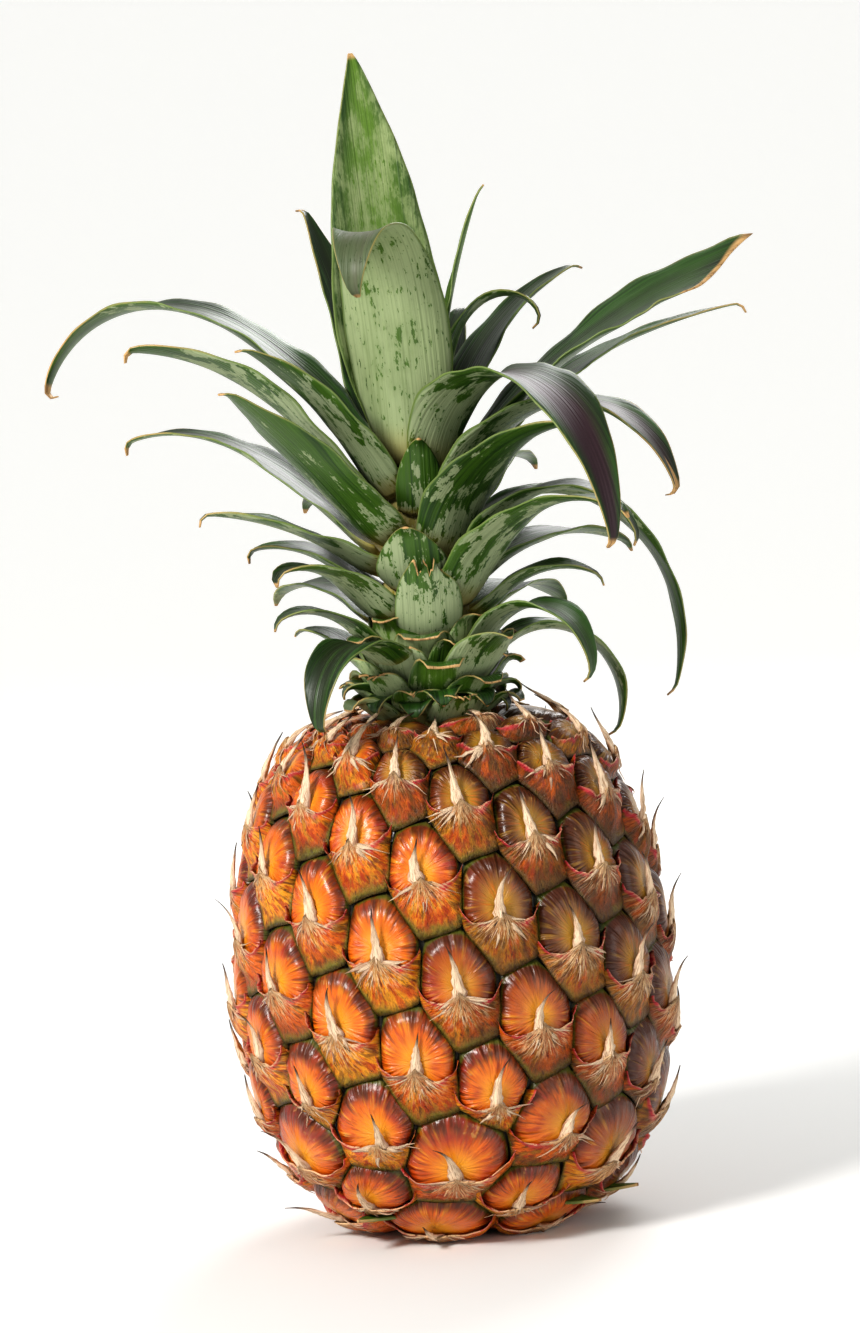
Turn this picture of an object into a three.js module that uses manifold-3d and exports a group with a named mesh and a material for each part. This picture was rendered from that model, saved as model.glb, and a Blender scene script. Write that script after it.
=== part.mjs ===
// A whole pineapple standing on its cut base. The fruit is one solid with its spiral of eyes raised
// from the skin, each eye with a dry spine. The cut end of the stalk sits in its base. The crown is a
// short stem with small scale leaves grown into it, and every large leaf is a piece of its own.
// Millimetres, +Z up, with the origin where the fruit's axis meets the surface that it stands on.
import * as THREE from "three";
import { ConvexHull } from "three/addons/math/ConvexHull.js";
import { mergeVertices } from "three/addons/utils/BufferGeometryUtils.js";
import Module from "manifold-3d";

const wasm = await Module();
wasm.setup();

// Driving sizes of the fruit
const FRUIT_RADIUS = 60; // over the eyes, at the widest place
const WIDEST_Z = 68;
const RISE_ABOVE_WIDEST = 73;
const DROP_BELOW_WIDEST = 70; // a little past the cut base, which is at Z = 0
const SHOULDER = { height: 1.7, width: 4.5 }; // exponents of the outline above the widest place
const FOOT = { height: 2.2, width: 3.0 }; // and below it
const OUTLINE_STEPS = 900;

// The spiral of eyes
const GOLDEN_ANGLE = 137.508;
const EYE_AREA = 541; // mm2 of skin that each full eye covers
const EYE_AREA_LOST = { top: 1.0, base: 0.12 }; // share of that area lost towards each end
const FIRST_EYE = { azimuth: -19, z: 86 }; // the eye that the others are counted from
const ROW_RISE = 3.6; // the rows ride up by this much on the right-hand side
const EYE_LIMITS = { topRadius: 22, baseRadius: 25 }; // no eye is centred nearer to the axis

// Heights over the valleys between the eyes
const SKIN_SINK = 2.4; // the plain skin lies this far inside the outline
const VALLEY = -1.0;
const EYE_RIM = { at: 0.83, dome: 1.5, bractEdge: 1.7, bract: 0.9 };
const EYE_TOP = { at: 0.44, dome: 2.4, bractEdge: 3.0, bract: 2.3 };
const EYE_CENTRE = 3.4;
const RIM_ANGLES = [-9, 18, 54, 90, 126, 162, 189, 230, 270, 310];
const TOP_ANGLES = [-20, 30, 90, 150, 200, 270];

// The spine of each eye
const SPINE = { length: 10.5, halfWidth: 2.3, back: 3.2, sunk: 0.4, ridge: 4.3 };
const SPINE_STAND_OFF = { least: 3.6, most: 6.2 };
const SPINE_LEAN = 2.6; // furthest that a tip lies to one side

// The few green bracts that are left under the fruit's edge
const BASE_BRACTS = {
  azimuths: [66, 44, -38],
  root: { radius: 31, z: 9 },
  tip: { radius: 50, z: 10 },
  halfWidth: 6,
  thick: 1.6,
};

// The cut stalk and the seat of the crown
const GAP = 0.3; // clearance between pieces that touch
const STALK = { radius: 13, length: 11, sides: 20 };
const CROWN_SEAT = { z: 137, radius: 16.5 };

// The crown's stem: radius at heights over its foot
const STEM = [
  [16, 0],
  [15, 9],
  [13, 22],
  [10.5, 44],
  [8, 62],
  [5.5, 78],
  [2, 86],
];
const STEM_SIDES = 14;
const SCALE_LEAVES = { count: 13, firstZ: 6.8, lastZ: 10.2, firstAzimuth: 72 };

const SEED = 20731;
const LEAF_GREEN = { color: 0x4f7a35, roughness: 0.5, metalness: 0 };

// The large leaves grow in a spiral of their own up the stem
const LEAF_SPIRAL = { azimuth: 24, z: 12, rise: 1.6 };
const LEAF_KICK = { angle: 28, length: 10 }; // each leaf first leans out by this much
const BLADE = { thick: 1.5, edge: 0.7, fold: 24, tip: 0.04, wave: 0.7, waveLength: 42 };

// The leaves from the lowest up. A leaf rises at rise degrees over the level and ends at end,
// bent mostly near its tip where bend is large. turn moves it off its place in the spiral, sway
// swings its tip round, twist rolls it and tip is the share of its width left at a torn end.
const LEAVES = [
  { length: 27, width: 21, rise: 62, end: 5, bend: 1.4, turn: 12 },
  { length: 30, width: 20, rise: 60, end: -5, bend: 1.5 },
  { length: 66, width: 17, rise: 70, end: -118, bend: 0.85, sway: -14 },
  { length: 54, width: 17, rise: 64, end: -106, bend: 1.0, turn: -8 },
  { length: 40, width: 22, rise: 52, end: -35, bend: 1.1 },
  { length: 56, width: 15, rise: 66, end: -112, bend: 1.2 },
  { length: 34, width: 20, rise: 64, end: -40, bend: 1.4 },
  { length: 56, width: 20, rise: 52, end: -40, bend: 1.0 },
  { length: 27, width: 19, rise: 74, end: 62, bend: 1.5, tip: 0.4, turn: -1 },
  { length: 50, width: 22, rise: 52, end: -30, bend: 1.1 },
  { length: 42, width: 21, rise: 59, end: -40, bend: 1.25 },
  { length: 42, width: 23, rise: 62, end: -24, bend: 1.4, turn: -9 },
  { length: 60, width: 24, rise: 54, end: -25, bend: 1.1 },
  { length: 76, width: 22, rise: 66, end: -22, bend: 1.0, turn: 8 },
  { length: 44, width: 21, rise: 60, end: -20, bend: 1.3 },
  { length: 62, width: 23, rise: 54, end: -27, bend: 0.8 },
  { length: 21, width: 21, rise: 77, end: 70, bend: 1.2, turn: 6 },
  { length: 70, width: 21, rise: 56, end: -20, bend: 1.1 },
  { length: 68, width: 20, rise: 68, end: -80, bend: 1.4 },
  { length: 55, width: 22, rise: 48, end: 4, bend: 0.9, turn: -12 },
  { length: 78, width: 21, rise: 60, end: -20, bend: 1.0 },
  { length: 76, width: 25, rise: 84, end: -6, bend: 0.7, turn: 20, sway: 14 },
  { length: 98, width: 18, rise: 44, end: -20, bend: 2.0 },
  { length: 112, width: 13, rise: 75, end: -112, bend: 0.68, turn: 9 },
  { length: 71, width: 26, rise: 50, end: 36, bend: 1.0, turn: -14 },
  { length: 84, width: 22, rise: 58, end: -16, bend: 1.0, turn: -5 },
  { length: 99, width: 25, rise: 80, end: -84, bend: 1.15, turn: 11 },
  { length: 91, width: 26, rise: 64, end: 0, bend: 1.6, twist: 20 },
  { length: 130, width: 17, rise: 48, end: 7, bend: 0.8, turn: 8, sway: -42 },
  { length: 23, width: 14, rise: 82, end: 72, bend: 1.5, turn: 9 },
  { length: 99, width: 17, rise: 64, end: 62, bend: 1.0, turn: -18, sway: 24 },
  { length: 106, width: 28, rise: 72, end: 14, bend: 0.6, tip: 0.85, twist: 28 },
  { length: 62, width: 24, rise: 70, end: 28, bend: 1.0, turn: -6 },
  { length: 64, width: 19, rise: 80, end: 30, bend: 1.0, turn: -8 },
  { length: 121, width: 25, rise: 90, end: -92, bend: 0.8, turn: 5 },
  { length: 137, width: 24, rise: 56, end: -78, bend: 2.1, turn: -5 },
  { length: 78, width: 20, rise: 80, end: 16, bend: 1.0, turn: 8 },
  { length: 103, width: 30, rise: 86, end: -122, bend: 3.0, turn: 14, sway: -8 },
  { length: 114, width: 34, rise: 86, end: 81, bend: 1.0, turn: 4 },
  { length: 66, width: 20, rise: 87, end: -110, bend: 3.0, turn: 21 },
  { length: 44, width: 12, rise: 89, end: 83, bend: 1.0, turn: 4 },
  { length: 51, width: 11, rise: 88, end: 83, bend: 1.0, turn: 3 },
  { length: 30, width: 12, rise: 87, end: 84, bend: 1.0 },
  { length: 46, width: 13, rise: 88, end: 98, bend: 1.0 },
  { length: 67, width: 12, rise: 84, end: 67, bend: 1.0, turn: -4 },
];

// A repeatable draw between 0 and 1
function makeDraw(seed) {
  let state = seed;
  return () => {
    state = (state * 1664525 + 1013904223) % 4294967296;
    return state / 4294967296;
  };
}
const draw = makeDraw(SEED);
const radians = (degrees) => (degrees * Math.PI) / 180;
const mix = (a, b, share) => a + (b - a) * share;

// The way out from the axis on the side that faces azimuth a, in radians from the front
const outward = (a) => new THREE.Vector3(Math.sin(a), -Math.cos(a), 0);
const sideways = (a) => new THREE.Vector3(Math.cos(a), Math.sin(a), 0);

// Looks up y for x in two rising lists
function lookUp(xs, ys, x) {
  if (x <= xs[0]) return ys[0];
  let low = 0;
  let high = xs.length - 1;
  if (x >= xs[high]) return ys[high];
  while (high - low > 1) {
    const middle = (low + high) >> 1;
    if (xs[middle] <= x) low = middle;
    else high = middle;
  }
  return mix(ys[low], ys[high], (x - xs[low]) / (xs[high] - xs[low]));
}

// The fruit's outline as lists from base to top: radius, height, the way that it faces, the number
// of eyes counted up to it, and the height on a sphere that keeps the eyes' shapes.
function fruitOutline() {
  const line = { radius: [], z: [], nx: [], nz: [], eyes: [], sphere: [] };
  for (let k = 1; k < OUTLINE_STEPS; k++) {
    const b = mix(-Math.PI / 2, Math.PI / 2, k / OUTLINE_STEPS);
    const power = b > 0 ? SHOULDER : FOOT;
    const height = b > 0 ? RISE_ABOVE_WIDEST : DROP_BELOW_WIDEST;
    line.radius.push(FRUIT_RADIUS * Math.cos(b) ** (2 / power.width));
    line.z.push(WIDEST_Z + Math.sign(b) * height * Math.abs(Math.sin(b)) ** (2 / power.height));
  }
  const last = line.z.length - 1;
  let eyes = 0;
  let sphere = 0;
  for (let k = 0; k <= last; k++) {
    const [from, to] = [Math.max(k - 1, 0), Math.min(k + 1, last)];
    const dr = line.radius[to] - line.radius[from];
    const dz = line.z[to] - line.z[from];
    const length = Math.hypot(dr, dz);
    line.nx.push(dz / length);
    line.nz.push(-dr / length);
    if (k > 0) {
      const step = Math.hypot(line.radius[k] - line.radius[k - 1], line.z[k] - line.z[k - 1]);
      const radius = (line.radius[k] + line.radius[k - 1]) / 2;
      const above = line.z[k] > WIDEST_Z;
      const reach = above ? RISE_ABOVE_WIDEST : DROP_BELOW_WIDEST;
      const share = Math.abs(line.z[k] - WIDEST_Z) / reach;
      const lost = above ? EYE_AREA_LOST.top : EYE_AREA_LOST.base;
      eyes += (2 * Math.PI * radius * step) / (EYE_AREA * (1 - lost * 0.75 * share ** 4));
      sphere += step / radius;
    }
    line.eyes.push(eyes);
    line.sphere.push(sphere);
  }
  const middle = lookUp(line.z, line.sphere, WIDEST_Z);
  line.sphere = line.sphere.map((v) => v - middle);
  return line;
}
const outline = fruitOutline();

// A point over the skin, from the azimuth, the outline's height and the height over the plain skin
function skinPoint(azimuth, z, over) {
  const nx = lookUp(outline.z, outline.nx, z);
  const nz = lookUp(outline.z, outline.nz, z);
  const away = over - SKIN_SINK;
  const radius = Math.max(lookUp(outline.z, outline.radius, z) + away * nx, 0);
  return outward(azimuth).multiplyScalar(radius).setZ(z + away * nz);
}

// The eyes' centres in spiral order, each with its azimuth and height
function eyeCentres() {
  const start = lookUp(outline.z, outline.eyes, FIRST_EYE.z);
  const total = outline.eyes[outline.eyes.length - 1];
  const centres = [];
  for (let k = Math.ceil(-start); k < total - start; k++) {
    const azimuth = radians(FIRST_EYE.azimuth - GOLDEN_ANGLE * k);
    const level = lookUp(outline.eyes, outline.z, start + k);
    const reach = lookUp(outline.z, outline.radius, level) / FRUIT_RADIUS;
    const z = level + ROW_RISE * Math.sin(azimuth) * reach;
    const radius = lookUp(outline.z, outline.radius, z);
    const least = z > WIDEST_Z ? EYE_LIMITS.topRadius : EYE_LIMITS.baseRadius;
    if (radius > least) centres.push({ azimuth, z });
  }
  return centres;
}

// The skin is drawn onto a sphere in a way that keeps the shape of small areas
function onSphere(azimuth, z) {
  const v = lookUp(outline.z, outline.sphere, z);
  return outward(azimuth).multiplyScalar(1 / Math.cosh(v)).setZ(Math.tanh(v));
}

// The point over the skin that belongs to a point of that sphere
function fromSphere(point, over) {
  const azimuth = Math.atan2(point.x, -point.y);
  return skinPoint(azimuth, lookUp(outline.sphere, outline.z, Math.atanh(point.z)), over);
}

// The cells around the eyes' points on the sphere, each the list of corners that it shares
function eyeCells(points) {
  const number = new Map(points.map((p, k) => [p, k]));
  const hull = new ConvexHull().setFromPoints(points);
  const cells = points.map(() => []);
  const corners = [];
  for (const face of hull.faces) {
    const middle = new THREE.Vector3();
    let edge = face.edge;
    do {
      const { point } = edge.head();
      middle.add(point);
      cells[number.get(point)].push(corners.length);
      edge = edge.next;
    } while (edge !== face.edge);
    corners.push(middle.normalize());
  }
  return { cells, corners };
}

// One closed skin: a relief of rings in each eye's cell, with plain caps at the two ends
function fruitSkin(centres) {
  const points = centres.map(({ azimuth, z }) => onSphere(azimuth, z));
  const ends = [new THREE.Vector3(0, 0, 1), new THREE.Vector3(0, 0, -1)];
  points.push(...ends);
  const { cells, corners } = eyeCells(points);
  const vertices = [];
  const triangles = [];
  const spots = [];
  const add = (spot, over) => {
    spots.push(spot);
    return vertices.push(fromSphere(spot, over)) - 1;
  };
  corners.forEach((corner) => add(corner, VALLEY));
  const shared = new Map();
  const edgeMiddle = (a, b) => {
    const key = Math.min(a, b) + "," + Math.max(a, b);
    if (!shared.has(key)) shared.set(key, add(spots[a].clone().add(spots[b]).normalize(), VALLEY));
    return shared.get(key);
  };
  cells.forEach((own, k) => {
    const centre = points[k];
    const end = ends.includes(centre);
    const right = end ? new THREE.Vector3(centre.z, 0, 0) : sideways(centres[k].azimuth);
    const up = new THREE.Vector3().crossVectors(centre, right);
    const place = (id) => {
      const flat = spots[id].clone().divideScalar(spots[id].dot(centre));
      const [x, y] = [flat.dot(right), flat.dot(up)];
      return { id, angle: Math.atan2(y, x), reach: Math.hypot(x, y) };
    };
    const around = own.map(place).sort((p, q) => p.angle - q.angle);
    const rim = [];
    around.forEach((corner, j) => {
      rim.push(corner, place(edgeMiddle(corner.id, around[(j + 1) % around.length].id)));
    });
    const last = rim[rim.length - 1];
    if (last.angle < 0) last.angle += 2 * Math.PI;
    if (end) {
      spots.push(centre);
      vertices.push(new THREE.Vector3(0, 0, endHeight(centre.z) - SKIN_SINK));
      stitch(triangles, rim, [{ id: vertices.length - 1 }]);
      return;
    }
    const ring = (angles, level) => {
      const made = angles.map((degrees) => {
        const angle = radians(degrees > 180 ? degrees - 360 : degrees);
        const reach = borderReach(rim, angle) * level.at;
        const spot = centre.clone().addScaledVector(right, Math.cos(angle) * reach);
        spot.addScaledVector(up, Math.sin(angle) * reach).normalize();
        return { id: add(spot, level[kindOf(degrees)]), angle };
      });
      return made.sort((p, q) => p.angle - q.angle);
    };
    const outer = ring(RIM_ANGLES, EYE_RIM);
    const inner = ring(TOP_ANGLES, EYE_TOP);
    stitch(triangles, rim, outer);
    stitch(triangles, outer, inner);
    stitch(triangles, inner, [{ id: add(centre, EYE_CENTRE), angle: 0 }]);
  });
  return solidFrom(vertices, triangles);
}

// The bract's edge runs level across an eye, with the dome over it and the bract under it
function kindOf(degrees) {
  if (degrees > 0 && degrees < 180) return "dome";
  return degrees < 205 ? "bractEdge" : "bract";
}

// The height of the outline's top or bottom end
const endHeight = (side) => (side > 0 ? outline.z[outline.z.length - 1] : outline.z[0]);

// An eye's middle on the plain skin, with the directions to its right, up over it and out of it
function eyeFrame({ azimuth, z }) {
  const out = outward(azimuth).multiplyScalar(lookUp(outline.z, outline.nx, z));
  out.z = lookUp(outline.z, outline.nz, z);
  const right = sideways(azimuth);
  const up = new THREE.Vector3().crossVectors(out, right);
  return { right, out, up, centre: skinPoint(azimuth, z, 0) };
}

// How far the cell's border is from the eye's centre, at an angle
function borderReach(rim, angle) {
  const turns = [-2 * Math.PI, 0, 2 * Math.PI];
  const round = rim.flatMap((p) => turns.map((turn) => [p.angle + turn, p.reach]));
  round.sort((a, b) => a[0] - b[0]);
  return lookUp(round.map((p) => p[0]), round.map((p) => p[1]), angle);
}

// Fills the band between two rings that are sorted by angle, the second inside the first
function stitch(triangles, outer, inner) {
  const at = (ring, k) => ring[k % ring.length];
  if (inner.length === 1) {
    outer.forEach((p, k) => triangles.push(p.id, at(outer, k + 1).id, inner[0].id));
    return;
  }
  const angleOf = (ring, k) => at(ring, k).angle + 2 * Math.PI * Math.floor(k / ring.length);
  let i = 0;
  let j = 0;
  while (i < outer.length || j < inner.length) {
    const outerNext = j >= inner.length || angleOf(outer, i + 1) < angleOf(inner, j + 1);
    const [a, b] = [at(outer, i).id, at(inner, j).id];
    if (i < outer.length && outerNext) triangles.push(a, at(outer, ++i).id, b);
    else triangles.push(a, at(inner, ++j).id, b);
  }
}

// Turns corner points and triangles, or any closed geometry, into a solid
function solidFrom(vertices, triangles) {
  const geometry = new THREE.BufferGeometry().setFromPoints(vertices);
  geometry.setIndex(triangles);
  return solidOf(geometry);
}

function solidOf(geometry) {
  geometry.deleteAttribute("normal");
  geometry.deleteAttribute("uv");
  const merged = mergeVertices(geometry, 1e-3);
  const vertProperties = new Float32Array(merged.attributes.position.array);
  const triVerts = new Uint32Array(merged.index.array);
  return new wasm.Manifold(new wasm.Mesh({ numProp: 3, vertProperties, triVerts }));
}

function meshOf(name, solid, look) {
  const { vertProperties, triVerts } = solid.getMesh();
  const geometry = new THREE.BufferGeometry();
  geometry.setAttribute("position", new THREE.BufferAttribute(vertProperties, 3));
  geometry.setIndex(new THREE.BufferAttribute(triVerts, 1));
  geometry.computeVertexNormals();
  const mesh = new THREE.Mesh(geometry, new THREE.MeshStandardMaterial(look));
  mesh.name = name;
  return mesh;
}

// A dry spine, a slim three-sided spike that leans up over its eye's dome
function spine(centre) {
  const frame = eyeFrame(centre);
  const size = Math.min(lookUp(outline.z, outline.radius, centre.z) / 40, 1);
  const at = (x, y, over) => {
    const point = frame.centre.clone().addScaledVector(frame.right, x);
    return point.addScaledVector(frame.up, y).addScaledVector(frame.out, over);
  };
  const tipOver = mix(SPINE_STAND_OFF.least, SPINE_STAND_OFF.most, draw());
  const tip = at(SPINE_LEAN * (2 * draw() - 1), SPINE.length * size, tipOver);
  const left = at(-SPINE.halfWidth * size, 0.3, SPINE.sunk);
  const right = at(SPINE.halfWidth * size, 0.3, SPINE.sunk);
  const back = at(0, -SPINE.back * size, SPINE.sunk);
  const ridge = at(0, -0.4, SPINE.ridge);
  const triangles = [0, 1, 4, 0, 4, 2, 4, 1, 3, 4, 3, 2, 0, 2, 1, 3, 1, 2];
  return solidFrom([tip, left, right, back, ridge], triangles);
}

// A bract under the fruit's edge, a flat spike that reaches out from inside the skin
function baseBract(azimuth) {
  const { root, tip, halfWidth, thick } = BASE_BRACTS;
  const out = outward(radians(azimuth));
  const side = sideways(radians(azimuth));
  const at = (place, x, z) => {
    const point = out.clone().multiplyScalar(place.radius).addScaledVector(side, x);
    return point.setZ(place.z + z);
  };
  const points = [at(tip, 0, 0)];
  for (const z of [0, thick]) points.push(at(root, -halfWidth, z), at(root, halfWidth, z));
  return solidFrom(points, [0, 1, 2, 0, 4, 3, 0, 3, 1, 0, 2, 4, 1, 3, 2, 2, 3, 4]);
}

// An upright round bar on the fruit's axis
function bar(radius, fromZ, toZ, sides) {
  const geometry = new THREE.CylinderGeometry(radius, radius, toZ - fromZ, sides);
  return solidOf(geometry.rotateX(Math.PI / 2).translate(0, 0, (fromZ + toZ) / 2));
}

// The fruit, cut flat under its base, with a socket for the stalk and a seat for the crown
function makeFruit() {
  const centres = eyeCentres();
  const spines = centres.map(spine);
  const bracts = BASE_BRACTS.azimuths.map(baseBract);
  const { radius, z } = CROWN_SEAT;
  return wasm.Manifold.union([fruitSkin(centres), ...spines, ...bracts])
    .subtract(bar(2 * FRUIT_RADIUS, -FRUIT_RADIUS, 0, STALK.sides))
    .subtract(bar(STALK.radius + GAP, -1, STALK.length + GAP, STALK.sides))
    .subtract(bar(radius, z, z + FRUIT_RADIUS, STEM_SIDES));
}

const makeStalk = () => bar(STALK.radius, 0, STALK.length, STALK.sides);

// A leaf's midrib: a point and its three directions at each span's end, from the base to the tip
function midrib(leaf, spans) {
  const { azimuth, z, length, rise, end, bend, sway = 0, twist = 0, sunk = 0 } = leaf;
  const heading = (t) => radians(azimuth + sway * t ** 1.5);
  const along = (t) => {
    const kick = LEAF_KICK.angle * Math.max(1 - (t * length) / LEAF_KICK.length, 0);
    const slope = radians(mix(rise, end, t ** bend) - kick);
    return outward(heading(t)).multiplyScalar(Math.cos(slope)).setZ(Math.sin(slope));
  };
  const point = outward(heading(0)).multiplyScalar(stemRadius(z) + GAP + BLADE.thick / 2 - sunk);
  point.z = CROWN_SEAT.z + GAP + z;
  const stations = [];
  const steps = 6; // short steps along each span
  for (let k = 0; k <= spans; k++) {
    const t = k / spans;
    const way = along(t);
    const flat = sideways(heading(t));
    const side = flat.clone().applyAxisAngle(way, radians(twist * t));
    const face = new THREE.Vector3().crossVectors(way, side);
    stations.push({ t, point: point.clone(), side, face });
    for (let m = 0; m < steps && k < spans; m++) {
      point.addScaledVector(along((k + (m + 0.5) / steps) / spans), length / spans / steps);
    }
  }
  return stations;
}

const stemHeights = STEM.map((p) => p[1]);
const stemRadii = STEM.map((p) => p[0]);
const stemRadius = (z) => lookUp(stemHeights, stemRadii, z);

// A blade widens from its clasping base to a third of its length, then narrows to its tip
function bladeShare(t, base, tip) {
  if (t < 0.3) return mix(base, 1, Math.sin((t / 0.3) * (Math.PI / 2)));
  return mix(1 - ((t - 0.3) / 0.7) ** 1.9, 1, tip);
}

// A leaf's blade as a closed solid, curled round its midrib, with thin and gently waved edges
function blade(leaf) {
  const { width, length, azimuth, tip = BLADE.tip, across = 2, spans = 7 } = leaf;
  const base = Math.min(0.95, (2 * stemRadius(leaf.z)) / width);
  const clasp = Math.min((base * width) / 2 / stemRadius(leaf.z), 1.1);
  const upper = [];
  const lower = [];
  for (const { t, point, side, face } of midrib(leaf, spans)) {
    const half = (width / 2) * bladeShare(t, base, tip);
    const turn = mix(clasp, radians(BLADE.fold), Math.min(t * 2.5, 1));
    const wave = BLADE.wave * Math.min(4 * t, 1) * bladeShare(t, base, tip);
    for (let j = -across; j <= across; j++) {
      const u = j / across;
      const [c, s] = [Math.cos(turn * u), Math.sin(turn * u)];
      const phase = (2 * Math.PI * t * length) / BLADE.waveLength + radians(azimuth) + 2 * u;
      const lift = (half * (1 - c)) / turn + wave * u * u * Math.sin(phase);
      const middle = point.clone().addScaledVector(side, (half * s) / turn);
      middle.addScaledVector(face, lift);
      const body = mix(BLADE.thick, BLADE.edge, Math.max(u * u, t)) / 2;
      const out = face.clone().multiplyScalar(c).addScaledVector(side, -s).multiplyScalar(body);
      upper.push(middle.clone().add(out));
      lower.push(middle.clone().sub(out));
    }
  }
  return solidFrom([...upper, ...lower], bladeTriangles(spans, 2 * across));
}

// Both faces are split along the same diagonals, so that a thin blade never crosses itself
function bladeTriangles(spans, strips) {
  const triangles = [];
  const row = strips + 1;
  const under = (spans + 1) * row;
  for (let k = 0; k < spans; k++) {
    for (let j = 0; j < strips; j++) {
      const [a, b, c, d] = [k * row + j, k * row + j + 1, (k + 1) * row + j + 1, (k + 1) * row + j];
      triangles.push(a, c, b, a, d, c);
      triangles.push(under + a, under + b, under + c, under + a, under + c, under + d);
    }
    const [left, right] = [k * row, k * row + strips];
    triangles.push(left, under + left, left + row, under + left, under + left + row, left + row);
    triangles.push(right, right + row, under + right, under + right, right + row, under + right + row);
  }
  for (let j = 0; j < strips; j++) {
    const tip = spans * row + j;
    triangles.push(j, j + 1, under + j, j + 1, under + j + 1, under + j);
    triangles.push(tip, under + tip, tip + 1, tip + 1, under + tip, under + tip + 1);
  }
  return triangles;
}

// The stem, with the small leaves at the crown's foot grown into it
function makeStem() {
  const top = stemHeights[stemHeights.length - 1] + 2;
  const profile = [[0, 0], ...STEM, [0, top]].map(([r, z]) => new THREE.Vector2(r, z));
  const lathe = new THREE.LatheGeometry(profile, STEM_SIDES).rotateX(Math.PI / 2);
  const core = solidOf(lathe.translate(0, 0, CROWN_SEAT.z + GAP));
  const { count, firstZ, lastZ, firstAzimuth } = SCALE_LEAVES;
  const scales = [];
  for (let k = 0; k < count; k++) {
    const share = k / (count - 1);
    scales.push(
      blade({
        azimuth: firstAzimuth + GOLDEN_ANGLE * k,
        z: mix(firstZ, lastZ, share),
        length: mix(10, 13, share) * mix(0.9, 1.15, draw()),
        width: mix(11, 14, share),
        rise: mix(36, 44, share),
        end: mix(-40, 0, draw()),
        bend: 1.2,
        across: 1,
        spans: 3,
        sunk: 2.5,
      }),
    );
  }
  return wasm.Manifold.union([core, ...scales]);
}

// The leaves in spiral order, each with its azimuth and its height over the stem's foot
function placedLeaves() {
  return LEAVES.map((leaf, k) => ({
    ...leaf,
    azimuth: LEAF_SPIRAL.azimuth - GOLDEN_ANGLE * k + (leaf.turn ?? 0),
    z: LEAF_SPIRAL.z + LEAF_SPIRAL.rise * k,
    across: leaf.length > 60 ? 2 : 1,
  }));
}

const pineapple = new THREE.Group();
pineapple.add(meshOf("fruit", makeFruit(), { color: 0xc96a1e, roughness: 0.45, metalness: 0 }));
pineapple.add(meshOf("cut_stalk", makeStalk(), { color: 0xb59a62, roughness: 0.85, metalness: 0 }));
pineapple.add(meshOf("crown_stem", makeStem(), LEAF_GREEN));
placedLeaves().forEach((leaf, k) => {
  pineapple.add(meshOf("leaf_" + String(k + 1).padStart(2, "0"), blade(leaf), LEAF_GREEN));
});

export default pineapple;
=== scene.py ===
"""A whole pineapple, standing on its cut base with its crown of leaves.

Lengths in the formulas are in millimetres and azimuths are measured from the front, positive
towards the right. Every mesh is scaled to metres when it is made.
"""

import logging
import math
from dataclasses import dataclass, field
from enum import Enum

import bmesh
import bpy
import numpy as np
from mathutils import Matrix, Vector


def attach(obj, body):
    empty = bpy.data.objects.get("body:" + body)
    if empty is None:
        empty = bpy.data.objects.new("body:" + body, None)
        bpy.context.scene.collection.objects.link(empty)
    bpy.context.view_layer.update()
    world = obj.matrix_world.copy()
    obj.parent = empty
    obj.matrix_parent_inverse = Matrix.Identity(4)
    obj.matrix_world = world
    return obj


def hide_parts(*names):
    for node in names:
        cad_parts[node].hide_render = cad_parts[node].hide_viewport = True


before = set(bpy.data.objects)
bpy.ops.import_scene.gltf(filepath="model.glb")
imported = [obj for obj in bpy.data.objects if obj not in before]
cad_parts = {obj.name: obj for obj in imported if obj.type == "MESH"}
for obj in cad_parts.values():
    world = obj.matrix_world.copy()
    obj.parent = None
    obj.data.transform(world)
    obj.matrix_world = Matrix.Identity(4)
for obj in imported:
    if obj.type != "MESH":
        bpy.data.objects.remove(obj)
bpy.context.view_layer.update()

log = logging.getLogger("pineapple")

METRES = 0.001  # metres in a millimetre
GOLDEN_ANGLE = 137.508
SEAT_Z = 137.0  # height of the crown's seat in the fruit
SEAT_RADIUS = 16.5
STALK_RADIUS = 13.0
STALK_HEIGHT = 11.0
GAP = 0.3  # clearance between pieces that touch


# Numbers


def outward(azimuth: np.ndarray) -> np.ndarray:
    """The level direction away from the axis.

    Args:
        azimuth: Angles in radians from the front.

    Returns:
        Unit vectors, one per angle.
    """
    azimuth = np.asarray(azimuth, float)
    return np.stack([np.sin(azimuth), -np.cos(azimuth), np.zeros_like(azimuth)], axis=-1)


def sideways(azimuth: np.ndarray) -> np.ndarray:
    """The level direction to the right of the outward one, seen from outside.

    Args:
        azimuth: Angles in radians from the front.

    Returns:
        Unit vectors, one per angle.
    """
    azimuth = np.asarray(azimuth, float)
    return np.stack([np.cos(azimuth), np.sin(azimuth), np.zeros_like(azimuth)], axis=-1)


def unit(vectors: np.ndarray) -> np.ndarray:
    """Vectors brought to length one.

    Args:
        vectors: Vectors along the last axis.

    Returns:
        The same directions as unit vectors.
    """
    return vectors / np.linalg.norm(vectors, axis=-1, keepdims=True)


def mix(a: float, b: float, share: float) -> float:
    """A value between two others.

    Args:
        a: The value at share 0.
        b: The value at share 1.
        share: How far the result lies from a towards b.

    Returns:
        The value in between.
    """
    return a + (b - a) * share


def smooth_step(low: float, high: float, x: np.ndarray) -> np.ndarray:
    """A soft step from 0 to 1.

    Args:
        low: Where the step leaves 0.
        high: Where it reaches 1.
        x: The places to look at.

    Returns:
        The step's height at each place.
    """
    t = np.clip((np.asarray(x, float) - low) / (high - low), 0.0, 1.0)
    return t * t * (3.0 - 2.0 * t)


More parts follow.
